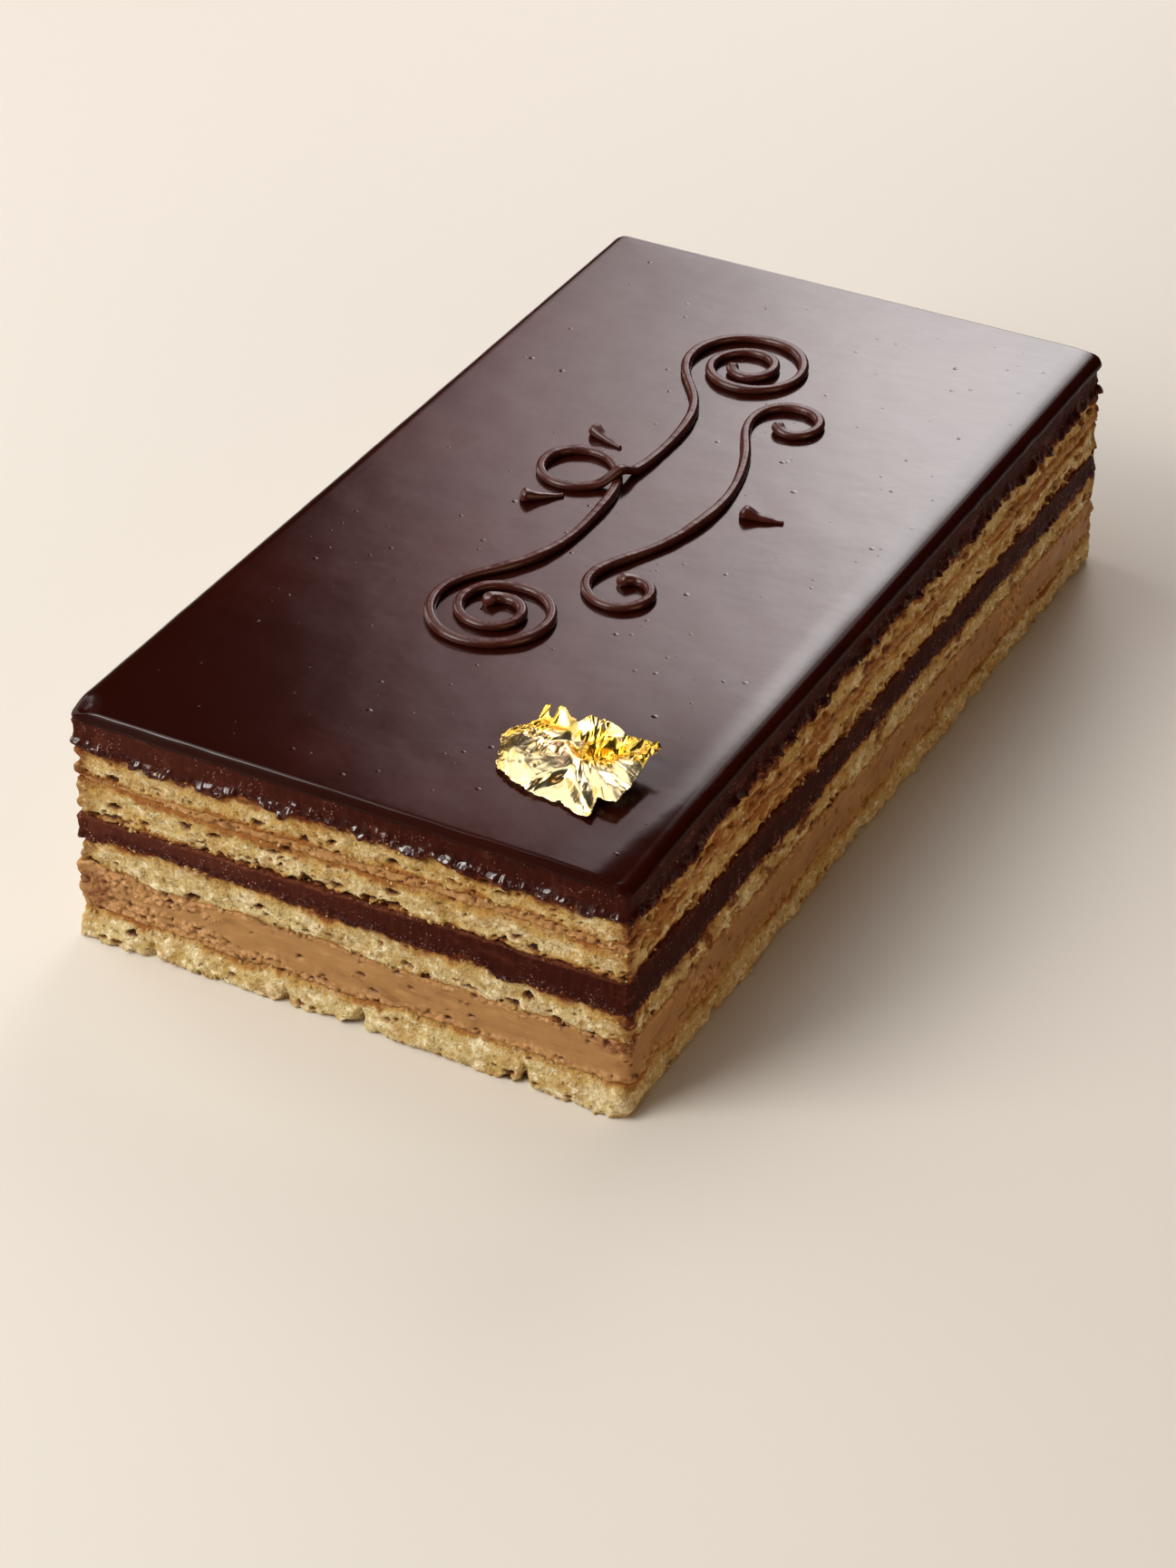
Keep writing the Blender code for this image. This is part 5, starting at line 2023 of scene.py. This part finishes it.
@dataclass
class Cake:
    """The whole cake, made round the solids of the frame."""

    nodes: dict[str, bpy.types.Object]
    step: float = 0.22
    corner: float = 0.7

    # The layers from the bottom up, each with its kind, its seed and its own ways.
    LAYERS: ClassVar[dict[str, partial[Layer]]] = {
        "sponge_base": partial(
            FootSponge, seed=10, stands=(-1, 0.2), joins=(False, True), holes_at_foot=0.08, soak_top=1.4,
            stain_and_side_shade=0, roll_top=0.12, roll_foot=0.4, spills=1.3,
        ),
        "coffee_cream_lower": partial(
            Cream, seed=110, stands=(0.2, 1.3), joins=(True, True),
            patches=((9, 5.6, 14, 1.6), (14, 1.6, 16, 1.7), (38, 0.2, 12, 1)),
            burnt=((0, 5.2, 3.6, 2), (1, 1.8, 2.6, 1.6), (90.5, 6, 3.2, 1.7)),
        ),
        "sponge_second": partial(
            Sponge, seed=210, stands=(1, 0), joins=(True, False), holes_at_foot=0.2, toast_top=1.2,
            soak_top=2.6, soak_foot=0.5, stain_and_side_shade=0.7, roll_top=0.45, roll_foot=0.12,
        ),
        "ganache_middle": partial(
            Ganache, seed=310, stands=(1.3, 1.1), beads=0.3, wet_height=2.4, dusty=0.5, gloss=0.6,
            crusty=1, hazy=0.65,
        ),
        "sponge_third": partial(
            Sponge, seed=410, joins=(False, True), holes_at_foot=0.85, toast_foot=0.8, soak_top=1.9,
            soak_foot=1.3, soaked=0.1, open_crumb=0.12, stain_and_side_shade=0.6, roll_top=0.12,
        ),
        "coffee_cream_upper": partial(Cream, seed=510, joins=(True, True), grainy_all=0.8, stain_top=1.1),
        # Its stains under the ganache are laid on strongly: part stain, part painted shade under the
        # ganache's overhang.
        "sponge_top": partial(
            Sponge, seed=610, joins=(True, False), toast_top=1.7, soak_top=2.5, soak_foot=1.3, soaked=0.12,
            open_crumb=0.12, stain_and_side_shade=1, roll_top=0.45, roll_foot=0.12,
        ),
        "ganache_top": partial(Ganache, seed=710, stands=(0.2, 1.1), beads=0.9, wet_height=2.6),
    }  # fmt: skip
    FLUSH: ClassVar[tuple[int, ...]] = (1, 2, 5, 6)  # beds where cream and crumb meet

    # How far each bed wanders up and down along the cut: in long swells, in ripples and in crumbs.
    WANDER: ClassVar[Triples] = (
        (0, 0, 0), (0.4, 0.5, 0.25), (0.35, 0.5, 0.28), (0.25, 0.35, 0.28), (0.18, 0.2, 0.16),
        (0.28, 0.34, 0.22), (0.28, 0.36, 0.24), (0.3, 0.38, 0.28), (0, 0.03, 0),
    )  # fmt: skip

    # How far beds bend up or down along the front and the right side: places along them and shifts.
    BENDS: ClassVar[dict[int, Pairs]] = {
        1: ((0, 0), (10, -0.7), (30, -0.9), (46, -1), (56, -0.3), (92, 0), (272, 0)),
        2: ((0, 0.6), (10, -0.3), (30, 0), (60, 0), (92, 0), (110, -0.4), (250, -0.3), (270, 0)),
        3: ((0, -0.5), (9, 0.1), (40, 0.3), (60, 0), (66, 0.5), (74, -0.6), (92, -0.7), (120, -0.9),
            (150, -0.8), (166, 0.5), (180, -0.2), (210, -0.9), (262, -0.7), (272, 0)),
        4: ((0, -1.1), (26, -0.9), (38, -0.3), (50, 0), (62, 0.5), (76, 0.2), (92, 0.2), (160, 0.3),
            (190, -0.5), (240, -0.5), (264, -0.9), (272, 0)),
        5: ((0, 0.7), (12, 0.5), (20, 0.1), (60, 0.4), (92, 0.3), (272, 0.2)),
        6: ((0, -0.9), (12, -0.8), (20, -0.6), (40, -0.2), (92, -0.4), (272, -0.2)),
        7: ((0, 0.4), (12, 0.3), (18, -0.3), (26, 0.8), (34, 0.2), (50, 0.8), (58, 0), (92, -0.2),
            (110, -0.4), (130, 1), (150, 0.9), (190, 0.4), (215, -0.4), (262, -0.6), (272, 0)),
    }  # fmt: skip

    # Where drips hang from the front and the right side: their places along it, half widths and depths.
    DRIPS: ClassVar[dict[str, Triples]] = {
        "ganache_top": (
            (13, 1.9, 0.8), (24, 2.6, 0.7), (34.5, 1.8, 0.9), (49.5, 1.3, 0.6), (67, 1.6, 0.5),
            (84, 1.5, 0.5), (98, 2, 0.9), (128, 2.4, 0.7), (151, 1.7, 0.6),
        ),
        "ganache_middle": (
            (2, 2, 0.7), (36, 1.6, 0.6), (71, 1.8, 0.7), (110, 4, 0.5), (146, 2.4, 0.6),
        ),
    }  # fmt: skip

    def build(self) -> None:
        """Build every piece."""
        low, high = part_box("chocolate_glaze")
        half_x, half_y = high.x / MM, high.y / MM
        outline = Outline.around(half_x, half_y, self.corner, self.step)
        sides = [Solid(self.nodes[name]).measure(outline) for name in self.LAYERS]
        beds = self.beds(outline, sides, low.z / MM)
        layers = self.layers(outline, sides, beds)
        kinds = {"sponge": SpongeFinish, "coffee_cream": CreamFinish, "ganache": GanacheFinish}
        finishes = {slot: finish().material() for slot, finish in kinds.items()}
        for layer, node in zip(layers, self.LAYERS):
            layer.draft().object(finishes[layer.slot], layer.slot, node)
        sponges = [layer for layer in layers if isinstance(layer, Sponge)]
        Crumbs("sponge_crumbs", 1700).draft(sponges).object(finishes["sponge"], "sponge")
        glaze = Glaze(half_x, half_y, high.z / MM + 0.5, low.z / MM - 0.6)
        coat = GlazeFinish().material()
        glaze.draft().object(coat, "glaze", "chocolate_glaze")
        Bubbles(glaze).draft().object(coat, "glaze")
        piped = PipingFinish().material()
        for draft, node in Piping(glaze).drafts():
            draft.object(piped, "piping", node)
        leaf_low, leaf_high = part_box("gold_leaf")
        leaf_middle = (leaf_low + leaf_high) / 2 / MM
        leaf = GoldLeaf(glaze, (leaf_middle.x, leaf_middle.y))
        leaf.draft().object(GoldFinish().material(), "gold", "gold_leaf")

    def beds(self, outline: Outline, sides: list[Sides], top: float) -> list[Array]:
        """Return the height of each bed round the cake, wandering as a cut edge does.

        Args:
            outline: The columns.
            sides: What the solids say of each layer, from the bottom up.
            top: The underside of the glaze.

        Returns:
            One array for each bed, from the floor up to the glaze.
        """
        flat = outline.flat
        heights = [flat[:, 2]]
        heights += [(below.ceiling + above.floor) / 2 for below, above in zip(sides, sides[1:])]
        heights.append(np.full(len(outline.along), top - 0.4))
        beds = []
        for index, (height, (swell, ripple, crumb)) in enumerate(zip(heights, self.WANDER)):
            seed = 400 + 10 * index
            wander = waves(flat, seed, (swell, 8, 0), (ripple, 2.8, 1))
            beds.append(height + wander + crumb * swells(flat, 1, seed + 2))
        for index, bends in self.BENDS.items():
            where, shift = np.array(bends).T
            beds[index] += np.interp(outline.along, where, shift, period=outline.girth)
        torn = 0.25 + 0.5 * swells(flat, 1.7, 390) + 0.35 * swells(flat, 0.8, 391)
        torn += 0.3 * swells(flat, 6, 392)
        for where, depth in self.notches(outline):
            torn += depth * np.exp(-(((outline.along - where) / 0.8) ** 2))
        beds[0] = np.clip(torn, 0, 2.2)
        return beds

    @staticmethod
    def notches(outline: Outline) -> Pairs:
        """Return where pieces are missing from the cake's foot, and how much of it."""
        front = outline.place[0, 0]
        near = tuple((x - front, depth) for x, depth in ((-33.6, 1), (-10.2, 1.2), (2.3, 1.9), (30, 1.5)))
        return near + tuple((along, 1.2) for along in (118, 171, 214, 301, 342, 420, 487))

    def droop(self, outline: Outline, name: str) -> Array:
        """Let a layer hang over the one below it.

        Args:
            outline: The columns.
            name: The layer's node.

        Returns:
            How far it hangs down at each column.
        """
        amount, seed = {"ganache_middle": (0.4, 81), "ganache_top": (0.75, 91)}.get(name, (0, 0))
        beads = waves(outline.flat, seed, (1, 4.5, 0), (0.8, 1.6, 1))
        hangs = amount * np.clip(0.8 + beads, 0.1, 2.4)
        for where, width, depth in self.DRIPS.get(name, ()):
            hangs += depth * np.exp(-(((outline.along - where) / width) ** 2))
        return hangs

    def layers(self, outline: Outline, sides: list[Sides], beds: list[Array]) -> list[Layer]:
        """Set up the layers between their beds, each with its own ways.

        Args:
            outline: The columns.
            sides: What the solids say of each layer.
            beds: The beds' heights.

        Returns:
            The layers, from the bottom up.
        """
        spread = [sides[0].foot]
        spread += [(below.head + above.foot) / 2 for below, above in zip(sides, sides[1:])]
        spread.append(sides[-1].head)
        layers = []
        for index, (name, make) in enumerate(self.LAYERS.items()):
            side = Sides(
                beds[index] - self.droop(outline, name),
                beds[index + 1],
                spread[index] if index in self.FLUSH else sides[index].foot,
                spread[index + 1] if index + 1 in self.FLUSH else sides[index].head,
            )
            layers.append(make(f"{name}_cut", outline, side))
        layers[0].notches = self.notches(outline)
        return layers


@dataclass(frozen=True)
class Viewpoint:
    """Where the camera stands, as seen from the middle of the cake's underside, in millimetres."""

    azimuth: float = 27.35
    elevation: float = 34.45
    roll: float = 0.81
    lens: float = 91.07
    distance: float = 651.8
    right: float = -5.79
    up: float = -8.93

    def camera(self) -> None:
        """Set up the camera."""
        azimuth, elevation, roll = (math.radians(a) for a in (self.azimuth, self.elevation, self.roll))
        across, ahead = math.sin(azimuth) * math.cos(elevation), -math.cos(azimuth) * math.cos(elevation)
        back = Vector((across, ahead, math.sin(elevation)))
        level = Vector((0, 0, 1)).cross(back).normalized()
        upward = back.cross(level)
        right = level * math.cos(roll) + upward * math.sin(roll)
        up = upward * math.cos(roll) - level * math.sin(roll)
        place = (right * self.right + up * self.up + back * self.distance) * MM
        data = bpy.data.cameras.new("camera")
        data.lens = self.lens
        data.sensor_width = 36
        data.clip_start = 0.01
        camera = hang("camera", data)
        camera.matrix_world = Matrix((right, up, back)).transposed().to_4x4()
        camera.matrix_world.translation = place
        bpy.context.scene.camera = camera


@dataclass(frozen=True)
class SoftLight:
    """A square soft light that is aimed at the cake."""

    name: str
    place: Triple
    side: float
    power: float
    colour: Triple = (1, 1, 1)

    def light(self) -> None:
        """Hang the light."""
        data = bpy.data.lights.new(self.name, "AREA")
        data.shape = "SQUARE"
        data.size = self.side * MM
        data.energy = self.power
        data.color = self.colour
        light = hang(self.name, data)
        light.location = Vector(self.place) * MM
        light.rotation_euler = (-light.location).to_track_quat("-Z", "Y").to_euler()


@dataclass(frozen=True)
class Studio:
    """A pale floor, a glowing panel behind the cake that its glaze mirrors, and soft lights."""

    floor_side: float = 4000.0
    floor_colour: Colour = paint(229, 224, 215)
    floor_roughness: float = 0.7
    air: float = 0.03
    panel_place: Triple = (-271, 538, 397)
    panel_aim: Triple = (0, 0, 40)
    panel_turn: float = -12.4
    panel_size: Pair = (520, 460)
    panel_strength: float = 5.18

    # How bright the panel is along its length, from its dark left end to its bright right end, and how
    # much redder than white it is there.
    GLOW: ClassVar[Triples] = (
        (0.245, 0, 1.6), (0.275, 0.006, 1.6), (0.305, 0.032, 1.6), (0.335, 0.081, 1.55),
        (0.365, 0.13, 1.45), (0.395, 0.176, 1.4), (0.425, 0.238, 1.32), (0.455, 0.306, 1.28),
        (0.485, 0.366, 1.22), (0.515, 0.417, 1.19), (0.545, 0.472, 1.16), (0.575, 0.565, 1.14),
        (0.605, 0.685, 1.11), (0.635, 0.796, 1.09), (0.665, 0.898, 1.08), (0.695, 0.972, 1.07),
        (0.76, 0.991, 1.06), (0.9, 0.972, 1.05),
    )  # fmt: skip
    LIGHTS: ClassVar[tuple[SoftLight, ...]] = (
        SoftLight("key", (-500, -640, 560), 560, 7.6, (1, 0.96, 0.9)),
        SoftLight("fill", (640, -240, 120), 420, 1.15, (1, 0.64, 0.34)),
        SoftLight("sky", (-420, -80, 820), 1100, 5, (1, 0.98, 0.95)),
        SoftLight("side", (-820, 160, 260), 420, 1.4, (1, 0.93, 0.86)),
    )

    def set_up(self) -> None:
        """Lay the floor and hang the lights."""
        self.floor()
        self.panel()
        self.world()
        for light in self.LIGHTS:
            light.light()

    def floor(self) -> None:
        """Lay the floor."""
        half = self.floor_side * MM / 2
        finish = Sheet("floor").finish(base_color=self.floor_colour, roughness=self.floor_roughness)
        floor = self.rectangle("floor", half, half, finish)

    @staticmethod
    def rectangle(name: str, half_x: float, half_y: float, finish: Material) -> bpy.types.Object:
        """Make a flat rectangle round the origin, facing up.

        Args:
            name: Its name.
            half_x: Half its size along X, in metres.
            half_y: Half its size along Y.
            finish: Its material.

        Returns:
            The object.
        """
        corners = [(x * half_x, y * half_y, 0) for x, y in ((-1, -1), (1, -1), (1, 1), (-1, 1))]
        mesh = bpy.data.meshes.new(name)
        mesh.from_pydata(corners, [], [(0, 1, 2, 3)])
        mesh.materials.append(finish)
        return hang(name, mesh)

    def panel(self) -> None:
        """Hang the panel: dark at its left end and bright at its right end."""
        sheet = Sheet("panel")
        half_x, half_y = (size * MM / 2 for size in self.panel_size)
        place = sheet.node("ShaderNodeSeparateXYZ", {}, {0: sheet.place})
        share = Value(sheet, place.outputs[0]) * (0.5 / half_x) + 0.5
        stops = [(where, (glow * warmth, glow, glow, 1)) for where, glow, warmth in self.GLOW]
        ramp = sheet.node("ShaderNodeValToRGB", {"stops": stops}, {"Fac": share})
        across = Value(sheet, place.outputs[1]) * (0.5 / half_y) + 0.5
        black = paint(0, 0, 0)
        glow = sheet.blend(black, ramp.outputs[0], 1 - across.rise(0.46, 0.3) * 0.35)
        finish = sheet.finish(
            base_color=black,
            specular_ior_level=0,
            emission_color=glow,
            emission_strength=self.panel_strength,
        )
        panel = self.rectangle("panel", half_x, half_y, finish)
        back = (Vector(self.panel_aim) - Vector(self.panel_place)).normalized()
        level = Vector((0, 0, 1)).cross(back).normalized()
        turned = Matrix((level, back.cross(level), back)).transposed()
        turned = turned @ Matrix.Rotation(math.radians(self.panel_turn), 3, "Z")
        panel.matrix_world = turned.to_4x4()
        panel.matrix_world.translation = Vector(self.panel_place) * MM
        panel.visible_camera = False

    def world(self) -> None:
        """Fill the studio with an even pale light."""
        world = bpy.data.worlds.new("studio")
        world.use_nodes = True
        background = world.node_tree.nodes["Background"]
        background.inputs["Color"].default_value = (1, 1, 1, 1)
        background.inputs["Strength"].default_value = self.air
        bpy.context.scene.world = world


def main() -> None:
    """Build the cake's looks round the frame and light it."""
    logging.basicConfig(level=logging.INFO, format="%(name)s: %(message)s")
    bpy.context.scene.view_settings.view_transform = "Standard"
    Viewpoint().camera()
    Studio().set_up()
    Cake(frame["nodes"]).build()


if __name__ == "__main__":
    main()
